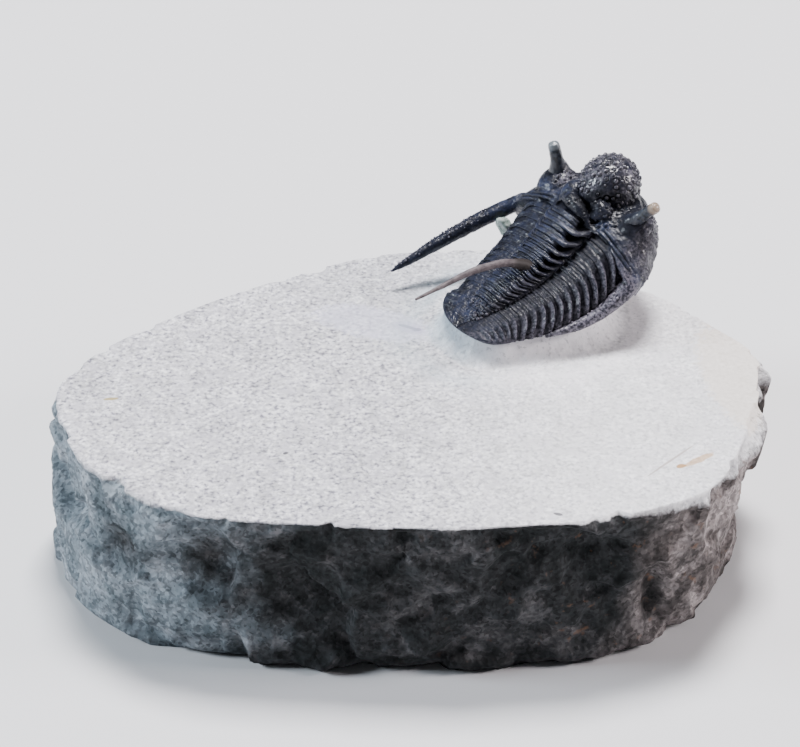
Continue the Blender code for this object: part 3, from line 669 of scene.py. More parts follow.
def makeStone():
    rim = stoneRim()
    centre = onBody(stone["carriesAt"], 0.0, 0.0)[:2]
    s = np.linspace(0.5, stone["pedestalEnd"], 60)
    w = halfWidth(s) - smoothCurve(s, stone["inset"])
    foot = np.vstack([onBody(s, w, 0.0), onBody(s, -w, 0.0)[::-1]])[:, :2]
    directions = rim - centre
    reach = np.linalg.norm(directions, axis=1)
    directions /= reach[:, None]
    top = reachOf(foot, centre, directions)
    shelf = centre + directions * top[:, None]
    drop = pedestalTop(shelf[:, 0], shelf[:, 1]) - stone["top"]
    flare = np.minimum(np.minimum(stone["flare"] * drop, stone["flareLimit"]), 0.6 * (reach - top))
    rings, prepared, mound = [], [], []

    def lifted(plane, height):
        return np.column_stack([plane, np.broadcast_to(height, len(plane))])

    def addRing(plane, height, isPrepared, onMound):
        rings.append(lifted(plane, height))
        prepared.append(np.full(len(plane), isPrepared, float))
        mound.append(np.full(len(plane), onMound, float))

    def outTo(distance):
        return centre + directions * distance[:, None]

    for share in (0.25, 0.5, 0.75, 0.9, 1.0):
        plane = outTo(top * share)
        addRing(plane, pedestalTop(plane[:, 0], plane[:, 1]), 1.0, 1.0)
    for share in np.linspace(0, 1, 15)[1:]:
        plane = outTo(top + flare * share)
        lumps = stone["moundLumps"] * roughness(lifted(plane, share), 1.1, 4, 5)
        height = stone["top"] + drop * (1 - share) ** stone["moundCurve"] + lumps * sin(pi * min(share, 0.9))
        addRing(plane, height, 1.0, 1 - share ** 2)
    chips = np.clip(roughness(lifted(rim, 0.0), 2.4, 4, 9) - 0.12, 0, 1) * stone["rimChips"]
    chips += stone["rimWear"] * smoothStep(rim[:, 0], 21.0, 26.5) + 0.12
    chips = np.minimum(chips, stone["rimChips"])
    ahead = reach - top - flare - chips
    for share in 1 - (1 - np.linspace(0, 1, 24)[1:-1]) ** 1.6:
        plane = outTo(top + flare + ahead * share)
        flat = lifted(plane, 0.0)
        swell = stone["swell"] * roughness(flat, 5.0, 2, 3) + stone["grit"] * roughness(flat, 0.8, 3, 4)
        height = stone["top"] + swell * min(1.0, 8 * (1 - share))
        addRing(plane, height, 1.0, 0.8 * bell(share * ahead, 0.0, 2.2))
    east = directions[:, 0]
    lean = stone["leanEast"] * np.clip(east, 0, 1) + stone["leanWest"] * np.clip(-east, 0, 1)
    dusty = np.interp(rim[:, 0], *stone["paleTop"])
    for level in np.concatenate([[1.0], 1 - np.linspace(0.05, 1, stone["wallRows"]) ** 1.25]):
        below = stone["top"] * (1 - level)
        relief = brokenSide(lifted(rim, level * stone["top"]))
        inward = lean * (1 - level) + np.maximum(relief, -stone["standsOut"]) * smoothStep(below, 0.0, 1.1)
        inward += chips * (1 - smoothStep(below, 0.0, 0.5 + chips))
        inward += stone["footRound"] * smoothStep(1 - level, 0.93, 1.0) ** 2
        plane = rim - directions * inward[:, None]
        pale = 0.9 * (1 - smoothStep(below, 0.0, dusty)) if level < 0.9999 else 1.0
        addRing(plane, stone["top"] * level, pale, 0.0)
    for share in (0.7, 0.35):
        plane = centre * (1 - share) + rings[-1][:, :2] * share
        addRing(plane, 0.0, 0.0, 0.0)
    under = pedestalTop(centre[0], centre[1])
    piece = closedLoft("matrixStone", np.array(rings), (*centre, under), (*centre, 0.0))
    where = skinOf(piece)[0]
    paint(piece, prepared=np.concatenate(prepared + [[1.0, 0.0]]))
    paint(piece, mound=np.concatenate(mound + [[1.0, 0.0]]))
    paint(piece, facet=flatTones(where))
    paint(piece, tailSide=1 - smoothStep(where[:, 0], 3.0, 9.0))
    paint(piece, east=smoothStep(where[:, 0], -4.0, 16.0))
    # painted shade on the near wall: darkest in the middle of its front, in the scallops and on the far
    # side, with random blotches
    blotch = 0.35 * roughness(where, 3.5, 3, 12)
    dark = smoothCurve(where[:, 0], stone["wallShading"]) + blotch * (np.abs(where[:, 0]) < 24)
    for x, z, wide, high, deep in stone["scallops"]:
        dark += 0.7 * deep * bell(np.hypot((where[:, 0] - x) / wide, (where[:, 2] - z) / high), 0, 0.9)
    paint(piece, dark=dark * smoothStep(-where[:, 1], -6.0, 4.0) + 0.3 * (where[:, 1] > 0))
    return piece


# thorax and tail shield
thorax = {
    "rowsPerSegment": 26,
    "axisColumns": 38,
    "ribColumns": 56,
    "ring": ((0.0, 0.06, 0.15, 0.24, 0.33, 0.42, 0.5, 0.58, 0.68, 0.78, 0.86, 0.94, 1.0),
             (-1.0, -0.9, 0.1, -0.3, 0.3, 0.1, -0.6, 0.35, 0.55, 0.1, 0.8, 1.0, 0.4)),
    "flank": ((0.0, 0.2, 0.42, 0.56, 0.7, 0.82, 0.94, 1.0), (-1.0, -1.0, -0.9, -0.6, 0.2, 0.95, 1.0, 0.4)),
    "rearFlank": ((0.0, 0.12, 0.28, 0.4, 0.5, 0.62, 0.78, 0.92, 1.0),
                  (-1.0, -0.6, 0.6, 0.7, -0.8, -0.5, 0.8, 1.0, 0.2)),
    "innerRib": ((0.0, 0.08, 0.22, 0.38, 0.48, 0.6, 0.72, 0.8, 0.93, 1.0),
                 (-1.0, -0.5, 0.5, 0.6, -0.6, 0.3, 0.55, 0.0, 0.9, 0.3)),
    "outerRib": ((0.0, 0.2, 0.42, 0.54, 0.65, 0.75, 0.87, 1.0),
                 (-1.0, -0.95, -0.75, 0.0, 0.9, 1.0, 0.2, -0.8)),
    "ringDepth": 0.13,
    "flankDepth": 0.25,
    "innerDepth": 0.07,
    "outerDepth": 0.22,
    "pit": 0.42,
    "wander": 0.08,             # of the ridges, in segments
    "tailWander": 0.12,
    "unevenness": 0.6,
    "fineRelief": 0.035,
    "leftRelief": 0.5,          # of the left ribs, to the right ones
    "shellDepth": 0.45,
    "overlap": 0.13,            # of each rear edge over the next segment
    "tailRing": 0.45,
    "endsForward": 0.75,        # of each ring's end beside the furrow
}


def thoraxRows():
    # station, phase in its segment and share of thorax for each cut, from the tail
    tail = np.concatenate([[0.04, 0.12], np.linspace(0.2, body["tailLength"] - 0.02, 62)])
    rows = [(s, (body["tailLength"] - s) / thorax["tailRing"] % 1.0, 0.0) for s in tail]
    edges = segmentEdges()
    for front, rear in reversed(list(zip(edges, edges[1:]))):
        rows += [(front + (rear - front) * p, p, 1.0) for p in np.linspace(1, 0, thorax["rowsPerSegment"])]
    rows += [(neck + ahead, 0.0, 1.0) for ahead in (0.15, 0.4, 0.7)]
    return np.array(list(zip(*rows)))[:, :, None]


def makeThorax():
    s, phase, inThorax = thoraxRows()
    share = body["axisShare"]
    ribs = share + (1 - share) * np.linspace(0, 1, thorax["ribColumns"] + 1)[1:]
    axisPart = np.linspace(-share, share, 2 * thorax["axisColumns"] + 1)
    w = np.concatenate([-ribs[::-1], axisPart, ribs])[None, :]
    along = alongThorax(s)
    edge, side = halfWidth(s), np.sign(w)
    reach = np.abs(w)
    axis = np.minimum(smoothCurve(along, body["axisWidth"]), 0.7 * edge)
    furrow = smoothCurve(along, body["furrowHeight"])
    turn = np.clip(reach / share, 0, 1) * pi / 2
    bend = np.clip((reach - share) / (1 - share), 0, 1)
    onAxis = reach < share
    crown = smoothCurve(along, body["axisHeight"]) * np.cos(turn) ** 0.8
    u = np.where(onAxis, axis * np.sin(turn), axis + (edge - axis) * np.sin(bend * pi / 2))
    h = np.where(onAxis, furrow + crown, furrow * np.cos(bend * pi / 2) ** 0.6)
    # no two rings quite alike
    where = np.stack(np.broadcast_arrays(s * 1.0, w * 6.0, 0.0 * w + 3.0), axis=-1)
    wander = roughness(where, 1.7, 3, 21)
    uneven = 1 + thorax["unevenness"] * roughness(where * (1.0, 0.4, 1.0), 0.8, 2, 22)
    phase = phase + (thorax["wander"] + thorax["tailWander"] * bend * (1 - inThorax)) * wander
    fade = (0.6 * smoothStep(s, 0.5, 1.2) + 0.2 * inThorax + 0.2 * np.clip(along, 0, 1)) * uneven
    front = smoothStep(along, 0.3, 0.62)
    toFlank = smoothStep(turn, 0.45, 0.9) * (w > 0)
    toFurrow = 1 - 0.85 * smoothStep(turn, 1.2, 1.57)
    flank = front * smoothCurve(phase, thorax["flank"])
    flank = flank + (1 - front) * smoothCurve(phase, thorax["rearFlank"])
    ring = (1 - toFlank) * thorax["ringDepth"] * smoothCurve(phase, thorax["ring"])
    ring = ring + toFlank * toFurrow * thorax["flankDepth"] * (0.6 + 0.4 * front) * flank
    pit = bell(turn, 0.98, 0.32) * bell(phase, 0.24, 0.22) * (0.08 + 0.92 * front) * inThorax
    pit = pit * (1 - 0.75 * (w < 0))
    ring = ring * fade - thorax["pit"] * pit
    toOuter = smoothStep(bend, 0.3, 0.5)
    border = np.where(inThorax > 0, 1.0, 1 - smoothStep(bend, 0.75, 0.95))
    rib = (1 - toOuter) * thorax["innerDepth"] * smoothCurve(phase, thorax["innerRib"])
    outer = thorax["outerDepth"] * (1 - 0.55 * smoothStep(bend, 0.75, 1.0))
    outer = outer * smoothCurve(phase, thorax["outerRib"])
    rib = rib + toOuter * outer
    rib = rib * fade * border * np.where(w > 0, 1.0, thorax["leftRelief"])
    ridges = np.where(onAxis, ring, rib)
    relief = ridges + thorax["fineRelief"] * roughness(where, 0.3, 3, 23)
    lean = np.where(onAxis, turn, 1.4 * bend ** 1.6)
    tuck = body["leftTuck"] * smoothStep(bend, 0.38, 0.95) * smoothStep(along, -0.06, 0.02) * (w < 0)
    u = side * (u + relief * np.sin(lean) - 1.2 * tuck)
    h = h + relief * np.cos(lean) - tuck
    ends = thorax["endsForward"] * smoothStep(s, 1.0, 4.5) * smoothStep(turn, 0.75, 1.5)
    sweep = ends - smoothCurve(along, body["ribSweep"]) * bend ** 2 - ends * smoothStep(bend, 0.3, 1.0)
    over = thorax["overlap"] * inThorax * smoothStep(phase, 0.75, 1.0)
    top = onBody(s + sweep - over, u, h)
    below = np.linspace(0.85, -0.85, 11)[None, :]
    depth = thorax["shellDepth"] * smoothStep(s, -0.2, 1.5) + 0 * below
    sBelow = s - smoothCurve(along, body["ribSweep"]) * below ** 2
    bottom = onBody(sBelow, below * edge, -depth)
    rings = np.concatenate([top, bottom], axis=1)
    piece = closedLoft("thoraxShell", rings, onBody(0.0, 0.0, 0.0), onBody(neck + 0.7, 0.0, 0.8))
    # painted shade: the grooves between rings and ribs, their low parts and the pits are darkened
    low = np.clip((np.where(onAxis, 0.04, 0.1) - ridges) / 0.24, 0, 1)
    crest = np.clip(ridges / 0.15, 0, 1)
    lines = 0.95 * bell(phase, 0.02, 0.06) + 0.8 * bell(phase, 0.5, 0.05) + 0.4 * bell(phase, 0.78, 0.04)
    onRing = lines * (1 - toFlank) + low * toFlank * (0.5 + 0.45 * front) * toFurrow
    left = smoothStep(-w, 0.0, 0.15)
    onRib = low * (0.28 + 0.37 * toOuter * (1 - 0.7 * smoothStep(bend, 0.75, 1.0))) * (1 - 0.6 * left)
    hollow = np.clip(np.where(onAxis, onRing, onRib) + pit * 1.3, 0, 1)
    hollow = hollow * (inThorax + (1 - inThorax) * 0.8 * smoothStep(s, 0.8, 2.2))
    # pale is the slate tone, its own, brighter on the left and on the crests as painted reflection and
    # painted highlight
    pale = np.where(onAxis, 1 - 0.7 * toFlank * (1 - left), 0.25 + 0.5 * left) * (1 - toOuter * 0.3)
    pale = pale * (0.6 + 0.6 * crest) + 0.2 * (1 - inThorax)
    # lilac sheen on the right outer ribs and on crests: a painted highlight
    lilac = toOuter * (1 - left) * (0.33 + 0.35 * smoothStep(bend, 0.6, 0.95)) * (0.5 + 0.7 * crest)
    lilac = lilac + 0.14 * np.where(onAxis, toFlank * (1 - left), 0.4 * (1 - left))
    tubercle = onAxis * (0.35 + 0.65 * bell(phase, 0.75, 0.3)) * (1 - inThorax) * smoothStep(s, 0.9, 1.3)

    def spread(values):
        whole = np.broadcast_to(values, u.shape)
        under = np.zeros((len(s), below.shape[1]))
        return np.concatenate([np.concatenate([whole, under], axis=1).ravel(), [0.0, 0.0]])

    paint(piece, hollow=spread(hollow), pale=spread(pale), lilac=spread(lilac), knob=spread(0.0),
          tubercle=spread(tubercle), dull=spread(np.where(onAxis, 0.0, 0.5) * (w > 0)))
    return piece


# head and cheek spines, grown together
head = {
    "halfWidth": 7.2,
    "length": 6.3,
    "edge": -1.0,
    "depth": 1.4,
    "cheekHeight": 2.7,
    "setback": 0.6,
    "glabellaAt": (neck + 3.85, 0.0, 2.45),
    "glabellaRadii": (2.5, 2.55, 2.3),
    # centre, radii and narrowing behind
    "leftLobe": ((neck + 1.6, -1.65, 2.5), (1.35, 1.1, 1.15), 0.8),
    "rightLobe": ((neck + 1.62, 1.62, 2.75), (0.9, 1.0, 0.9), 0.6),
    "ring": ((neck + 0.7, -2.3, 2.1), (neck + 0.9, -1.3, 3.0), (neck + 0.86, -0.45, 3.35),
             (neck + 0.65, 0.5, 3.25), (neck + 0.35, 1.35, 2.75), (neck + 0.05, 2.0, 2.1)),
    "ringRadii": (0.35, 0.55, 0.68, 0.56, 0.4, 0.26),
    "leftMound": ((neck + 1.9, -4.35, 1.6), (1.75, 1.7, 1.15), 1.0),
    "rightMound": ((neck + 2.6, 4.25, 1.6), (1.6, 1.5, 1.0), 1.0),
    "leftSpine": (
        (10.4, 15.5, 21.0), (9.6, 16.4, 20.6), (8.8, 17.0, 19.85), (7.1, 16.75, 19.1),
        (5.5, 16.25, 18.5), (3.6, 15.5, 17.75), (1.7, 14.65, 17.0), (0.0, 13.85, 16.3),
        (-1.5, 13.1, 15.7)),
    "leftRadii": (0.45, 0.6, 0.66, 0.68, 0.66, 0.6, 0.5, 0.36, 0.12),
    "rightSpine": (
        (neck - 0.2, 6.0, 0.0), (neck - 1.0, 6.6, -0.1), (neck - 2.4, 6.6, -0.2),
        (neck - 4.4, 6.35, -0.15), (neck - 6.4, 5.9, -0.05), (neck - 8.9, 5.2, 0.0)),
    "rightRadii": (0.95, 0.85, 0.7, 0.54, 0.42, 0.14),
    "borderFurrow": 0.16,
    "ridgeHeight": 0.09,        # of the parallel ridges along the rear edge
    "ridgeEvery": 0.36,
    "cheekFold": 0.06,
    "foldsAround": 11,          # in a full turn about the cheek
    "fineRelief": 0.04,
    "warts": (0.42, 0.17, 0.7, 0.35, 5),        # spacing, size, height, moat and seed
    "grain": 0.072,
    "smoothing": 4,
}


def cheekShell():
    x = np.linspace(0, 0.985, 60)[:, None]
    ahead = head["length"] * np.sin(x * pi / 2)
    w = np.linspace(-1, 1, 131)[None, :]
    x = ahead / head["length"]
    edge = head["halfWidth"] * np.clip(1 - x ** 2, 0, 1) ** 0.75
    reach = np.abs(w) * pi / 2
    u = np.sign(w) * edge * np.sin(reach)
    h = head["edge"] + (head["cheekHeight"] - head["edge"]) * np.cos(reach) ** 0.55 * (1 - x ** 3) ** 0.6
    setback = head["setback"] * (np.abs(u) / head["halfWidth"]) ** 3 * (1 - x)
    bulge = 0.45 * bell(np.abs(u), 3.8, 1.3) * (1 - x)
    s = neck + ahead - head["setback"] * 0.2 + bulge - setback * 2.2
    top = onBody(s, u, h)
    below = np.linspace(0.88, -0.88, 15)[None, :]
    sBelow = np.array([np.interp(below[0], w[0], row) for row in s])
    bottom = onBody(sBelow, below * edge, -head["depth"])
    rings = np.concatenate([top, bottom], axis=1)
    front = onBody(neck + head["length"] + 0.05, 0.0, (head["edge"] - head["depth"]) / 2)
    return closedLoft("cheeks", rings, onBody(neck + 0.2, 0.0, 0.6), front)


def ovoid(name, centre, radii, rear=1.0, rows=48):
    # a closed egg in the animal's measures, narrower behind
    tilt = (np.arange(1, rows) * pi / rows)[:, None]
    turn = (np.arange(2 * rows) * pi / rows)[None, :]
    x, y, z = np.cos(tilt) + 0 * turn, np.sin(tilt) * np.cos(turn), np.sin(tilt) * np.sin(turn)
    narrow = 1 - (1 - rear) * smoothStep(-x, -0.2, 1.0)
    u, h = centre[1] + radii[1] * y * narrow, centre[2] + radii[2] * z * narrow
    rings = onBody(centre[0] + radii[0] * x, u, h)
    ends = [onBody(centre[0] + sign * radii[0], centre[1], centre[2]) for sign in (1, -1)]
    return closedLoft(name, rings, *ends)


def posteriorBorder(side):
    # the ridge along the head's rear edge, from the occipital ring to the cheek spine
    knots = np.array([(neck + 0.45, 2.3, 2.1), (neck + 0.65, 3.4, 2.25), (neck + 0.5, 4.8, 1.75),
                      (neck + 0.0, 6.0, 0.9), (neck - 0.6, 6.8, 0.1)])
    knots[:, 1] *= side
    path, radii = easedPath(knots, (0.3, 0.36, 0.4, 0.45, 0.5), 10)
    return tube("border", onBody(*path.T), radii, 16)


def makeHead():
    pieces = [cheekShell(), posteriorBorder(1), posteriorBorder(-1)]
    path, radii = easedPath(head["ring"], head["ringRadii"], 8)
    pieces.append(tube("occipital", onBody(*path.T), radii, 24))
    for name in ("leftLobe", "rightLobe", "leftMound", "rightMound"):
        pieces.append(ovoid(name, *head[name], 24))
    left, radii = easedPath(head["leftSpine"], head["leftRadii"], 12)
    pieces.append(tube("leftSpine", left, radii))
    path, radii = easedPath(head["rightSpine"], head["rightRadii"], 12)
    pieces.append(tube("rightSpine", onBody(*path.T), radii))
    piece = fused("headShell", pieces, head["grain"], head["smoothing"])
    carveHead(piece)
    return piece


headPatches = {     # ahead of the neck, to the right, reach along and across, from this height up
    "leftBlue": (0.75, -4.5, 0.9, 1.1, -9.0),
    "besideRing": (1.4, -1.9, 0.9, 0.7, -9.0),
    "rightBlue": (1.05, 2.45, 0.5, 0.7, -9.0),
    "shadeUnderBall": (1.9, 0.2, 0.75, 0.75, -9.0),
    "shadeBesideLobe": (1.15, 1.2, 0.3, 0.6, -9.0),
    "eyeShade": (2.2, 4.6, 0.8, 0.8, -9.0),
    "eyeFoot": (2.4, 4.6, 1.1, 1.1, -9.0),
    "leftCluster": (2.5, -3.6, 0.7, 0.77, 1.0),
    "rightCluster": (2.3, 3.0, 0.75, 0.9, 1.0),
    "rightLobe": (1.62, 1.62, 0.9, 0.9, 2.5),
    "bulb": (0.9, -0.6, 0.45, 0.81, 2.7),
}


def carveHead(piece):
    # furrows, parallel ridges and the painted masks, in the animal's measures
    points, normals = skinOf(piece)
    s, u, h = bodyMeasures(points)
    ahead, away = s - neck, np.abs(u)

    def patch(name):
        x, y, long, wide, above = headPatches[name]
        return bell(np.hypot((ahead - x) / long, (u - y) / wide), 0.0, 1.0) * (h > above)

    inHead = smoothStep(ahead, -0.3, 0.2)
    x = np.clip(ahead, 0, head["length"]) / head["length"]
    edge = head["halfWidth"] * np.clip(1 - x ** 2, 0, 1) ** 0.75
    inward = edge - away
    rear = ahead + 0.2 * (away / 3.0) ** 2 - 0.55
    ridged = bell(rear, 0.0, 0.55) * smoothStep(away, 2.4, 3.0) * smoothStep(7.0 - away, 0.0, 1.0)
    isSpine = smoothStep(-ahead, 0.9, 1.6)
    wave = np.cos(2 * pi * rear / head["ridgeEvery"])
    move = -head["borderFurrow"] * bell(inward, 0.95, 0.4) * inHead * (h < 2.2)
    move = move + head["ridgeHeight"] * ridged * wave
    cheek = smoothStep(u, 4.8, 5.8) * smoothStep(ahead, -0.2, 0.5)
    turn = np.arctan2(ahead - 2.6, away - 4.2) + 0.25 * roughness(points, 2.0, 2, 33)
    move = move + head["cheekFold"] * cheek * np.cos(head["foldsAround"] * turn)
    move = move + head["fineRelief"] * roughness(points, 0.5, 3, 31)
    points = points + normals * move[:, None]
    movePoints(piece, points)
    # pale: slate-blue patches, the rear border and the left spine, their own tone together with painted
    # reflection
    blue = patch("leftBlue") + patch("besideRing") + patch("rightBlue")
    blueRear = 0.7 * bell(rear, 0.1, 0.7) * smoothStep(away, 2.4, 3.0)
    spineBlue = (u < 0) * isSpine * (0.25 + 0.75 * smoothStep(-ahead, 5.0, 1.5))
    paint(piece, pale=0.15 + blue + blueRear + spineBlue)
    # lilac sheen on the right cheek and spine and on the left wart cluster: mostly a painted highlight over
    # their own tone
    rightSpine = smoothStep(u, 4.9, 5.7) * smoothStep(-ahead, 0.1, 1.1)
    paint(piece, lilac=cheek * 0.35 + rightSpine * 0.85 + patch("leftCluster") * 0.9)
    # painted shade under the glabella, beside the lobe, by the eye, in the troughs between ridges and along
    # the border furrow
    under = patch("shadeUnderBall") + patch("shadeBesideLobe") + 0.35 * patch("eyeShade")
    troughShade = 0.8 * ridged * np.clip(-wave, 0, 1)
    paint(piece, hollow=under + troughShade + bell(inward, 1.0, 0.25) * inHead * 0.35)
    warts = patch("leftCluster") + patch("rightCluster") + patch("rightLobe") + 0.4 * patch("bulb")
    chance = np.clip(warts * 1.6 - 0.1, 0, 1) ** 1.5
    raiseTubercles(piece, chance * 0.35, *head["warts"])
    upperEdge = smoothStep(normals[:, 2], 0.35, 0.8) * smoothStep(-ahead, 1.5, 4.0)
    spines = isSpine * np.where(u > 0, 0.35 * (h > -0.3), 0.9 * upperEdge)
    rim = 0.7 * bell(inward, 0.1, 0.2) * smoothStep(ahead, -0.5, 0.2) * (u > 0)
    paint(piece, tubercle=spines + rim)
    paint(piece, dull=patch("eyeFoot"))


glabella = {
    "lumps": 0.06,
    "fineRelief": 0.02,
    "crowding": 0.05,           # chance of a wart at each point
    # shadeAt, shadeShape and shadeReach place the painted shade on the ball's underside
    "shadeAt": (-0.3, -2.4, 0.1),       # the dark smooth spot, from its middle
    "shadeShape": (0.75, 1.0, 1.25),
    "shadeReach": 1.15,
    "warts": (0.42, 0.18, 0.7, 0.45, 8),        # spacing, size, height, moat and seed
}


def makeGlabella():
    # the big ball, its warts larger and closer below
    piece = ovoid("glabella", head["glabellaAt"], head["glabellaRadii"], 0.85, 150)
    points, normals = skinOf(piece)
    points = points + normals * (glabella["lumps"] * roughness(points, 1.4, 3, 41))[:, None]
    movePoints(piece, points)
    s, u, h = bodyMeasures(points)
    ahead = s - head["glabellaAt"][0]
    upper = smoothStep(h, 1.0, 1.8) * smoothStep(ahead, -2.3, -1.5)
    smoothLeft = bell(ahead, -1.5, 1.0) * bell(u, -1.7, 1.0)
    middle = onBody(*head["glabellaAt"])
    fromShade = (points - middle - glabella["shadeAt"]) * glabella["shadeShape"]
    shade = bell(np.linalg.norm(fromShade, axis=1), 0.0, glabella["shadeReach"])
    chance = np.clip(upper - smoothLeft - 0.8 * shade, 0, 1) * glabella["crowding"]
    dip, knob = raiseTubercles(piece, chance, *glabella["warts"])
    raised = skinOf(piece)[0]
    fine = glabella["fineRelief"] * roughness(raised, 0.3, 2, 42)
    movePoints(piece, raised + normals * fine[:, None])
    # pale: the smooth slate left side of the ball, its own tone together with painted reflection
    paint(piece, pale=0.25 + 0.6 * smoothLeft + 0.25 * smoothStep(ahead, 0.0, 2.0))
    # lilac sheen, brighter on top, in sparkles and on the wart tips: a painted highlight
    sparkle = np.clip(0.5 + 1.6 * roughness(points, 0.7, 3, 43), 0, 1)
    paint(piece, lilac=0.42 * smoothStep(h, 1.2, 3.6) * sparkle + 0.5 * knob)
    # painted shade on the ball's underside and in the warts' moats
    paint(piece, hollow=0.8 * shade + dip * 5.0)
    paint(piece, tubercle=np.zeros(len(points)))
    return piece


# rods that stand free
axialSpine = {
    "path": ((0.35, 0.5, -0.9), (0.85, 0.2, -0.15), (2.0, 0.0, 0.65), (3.5, -0.2, 1.3),
             (6.8, -0.6, 2.0), (10.6, -0.9, 2.3), (14.25, -1.0, 2.75)),
    "radii": (0.85, 0.56, 0.36, 0.31, 0.28, 0.2, 0.09),
    "fineRelief": 0.022,
}


def makeAxialSpine():
    edges = segmentEdges()
    number = body["spineSegment"]
    s = (edges[number - 1] + edges[number]) / 2
    along = alongThorax(s)
    crest = smoothCurve(along, body["furrowHeight"]) + smoothCurve(along, body["axisHeight"])
    base = onBody(s, 0.0, crest)
    back = onBody(s - 1, 0.0, crest) - base
    side = onBody(s, 1.0, crest) - base
    up = onBody(s, 0.0, crest + 1) - base
    path, radii = easedPath(axialSpine["path"], axialSpine["radii"], 20)
    line = base + path[:, :1] * back + path[:, 1:2] * side + path[:, 2:] * up
    piece = tube("axialSpine", line, radii, 28)
    points, normals = skinOf(piece)
    fine = axialSpine["fineRelief"] * roughness(points, 0.5, 3, 51)
    movePoints(piece, points + normals * fine[:, None])
    away = np.linalg.norm(points - base, axis=1)
    # painted shade where the spine leaves the ring
    paint(piece, root=1 - smoothStep(away, 1.0, 2.6))
    return piece


eyes = {            # foot, tip, radii from foot to tip, and seed
    "left": ((neck + 2.73, -4.75, 2.2), (neck + 3.4, -5.3, 4.75),
             (0.95, 0.8, 0.62, 0.53, 0.5, 0.49, 0.42, 0.22), 71),
    "right": ((neck + 2.6, 4.2, 2.1), (neck + 3.9, 6.25, 4.1),
              (0.75, 0.62, 0.52, 0.47, 0.45, 0.46, 0.42, 0.22), 72),
}


eyeSkin = {"wrinkles": 0.045, "collar": 0.02}


def makeEyeStalk(side):
    base, tip, radii, seed = eyes[side]
    base, tip = np.array(base), np.array(tip)
    share = np.concatenate([np.linspace(-0.05, 0.86, 6), [0.96, 1.0]])
    path, radii = easedPath(base + (tip - base) * share[:, None], radii, 10)
    piece = tube(side + "EyeStalk", onBody(*path.T), radii, 40)
    points, normals = skinOf(piece)
    s, u, h = bodyMeasures(points)
    height = (np.stack([s, u, h], axis=1) - base) @ (tip - base) / np.dot(tip - base, tip - base)
    wrinkle = roughness(points * (1.0, 1.0, 0.4), 0.45, 3, seed)
    lift = eyeSkin["wrinkles"] * wrinkle * (1 - 0.6 * smoothStep(height, 0.7, 0.9))
    lift = lift - eyeSkin["collar"] * bell(height, 0.72, 0.05)
    movePoints(piece, points + normals * lift[:, None])
    paint(piece, tip=smoothStep(height, 0.74, 0.9))
    paint(piece, collar=bell(height, 0.75, 0.06))
    paint(piece, foot=1 - smoothStep(height, 0.15, 0.55))
    return piece


stalkTones = {      # tip and rind
    "left": ((0.13, 0.15, 0.165), (0.05, 0.06, 0.08)),
    "right": ((0.26, 0.2, 0.15), (0.06, 0.07, 0.09)),
}


def stalkMaterial(side):
    material, tree, shader = newMaterial(side + "_stalk")
    tip, rind = stalkTones[side]
    streaks = ramp(tree, grainOf(tree, 0.5, 3.0), (0.42, (0.008, 0.01, 0.014)), (0.62, rind))
    colour = layered(tree, streaks, (painted(tree, "tip"), tip),
                     (painted(tree, "collar", 0.4), (0.012, 0.01, 0.01)),
                     (painted(tree, "foot", 0.85), (0.01, 0.012, 0.021)))
    finish(shader, {"Base Color": colour, "Roughness": 0.34, "Coat Weight": 0.15, "Coat Roughness": 0.15})
    bumped(tree, shader, (grainOf(tree, 0.3, 3.0), 0.6, 0.07))
    return material


def spineMaterial():
    # dull mauve brown, with painted shade where it leaves the ring
    material, tree, shader = newMaterial("brown_spine")
    colour = ramp(tree, grainOf(tree, 0.5, 4.0), (0.34, (0.055, 0.043, 0.048)), (0.68, (0.15, 0.125, 0.13)))
    colour = mixed(tree, painted(tree, "root"), colour, (0.018, 0.013, 0.012))
    finish(shader, {"Base Color": colour, "Roughness": 0.58, "Specular IOR Level": 0.35})
    bumped(tree, shader, (grainOf(tree, 0.25, 3.0), 0.5, 0.05))
    return material


# the sliver of rock left between the left cheek spine and the thorax
web = {"at": (neck - 3.0, -6.75, -0.3), "radii": (0.62, 0.85, 1.2), "lumps": 0.16}


def makeWeb():
    piece = ovoid("matrixWeb", web["at"], web["radii"], 0.8, 40)
    points, normals = skinOf(piece)
    movePoints(piece, points + normals * (web["lumps"] * roughness(points, 0.9, 4, 61))[:, None])
    return piece


def webMaterial():
    material, tree, shader = newMaterial("web_limestone")
    colour = ramp(tree, grainOf(tree, 0.5, 4.0, 0.7), (0.34, (0.1, 0.14, 0.12)), (0.52, (0.3, 0.36, 0.33)),
                  (0.7, (0.6, 0.6, 0.6)))
    finish(shader, {"Base Color": colour, "Roughness": 0.8, "Specular IOR Level": 0.25})
    bumped(tree, shader, (grainOf(tree, 0.3, 4.0), 0.6, 0.1))
    return material


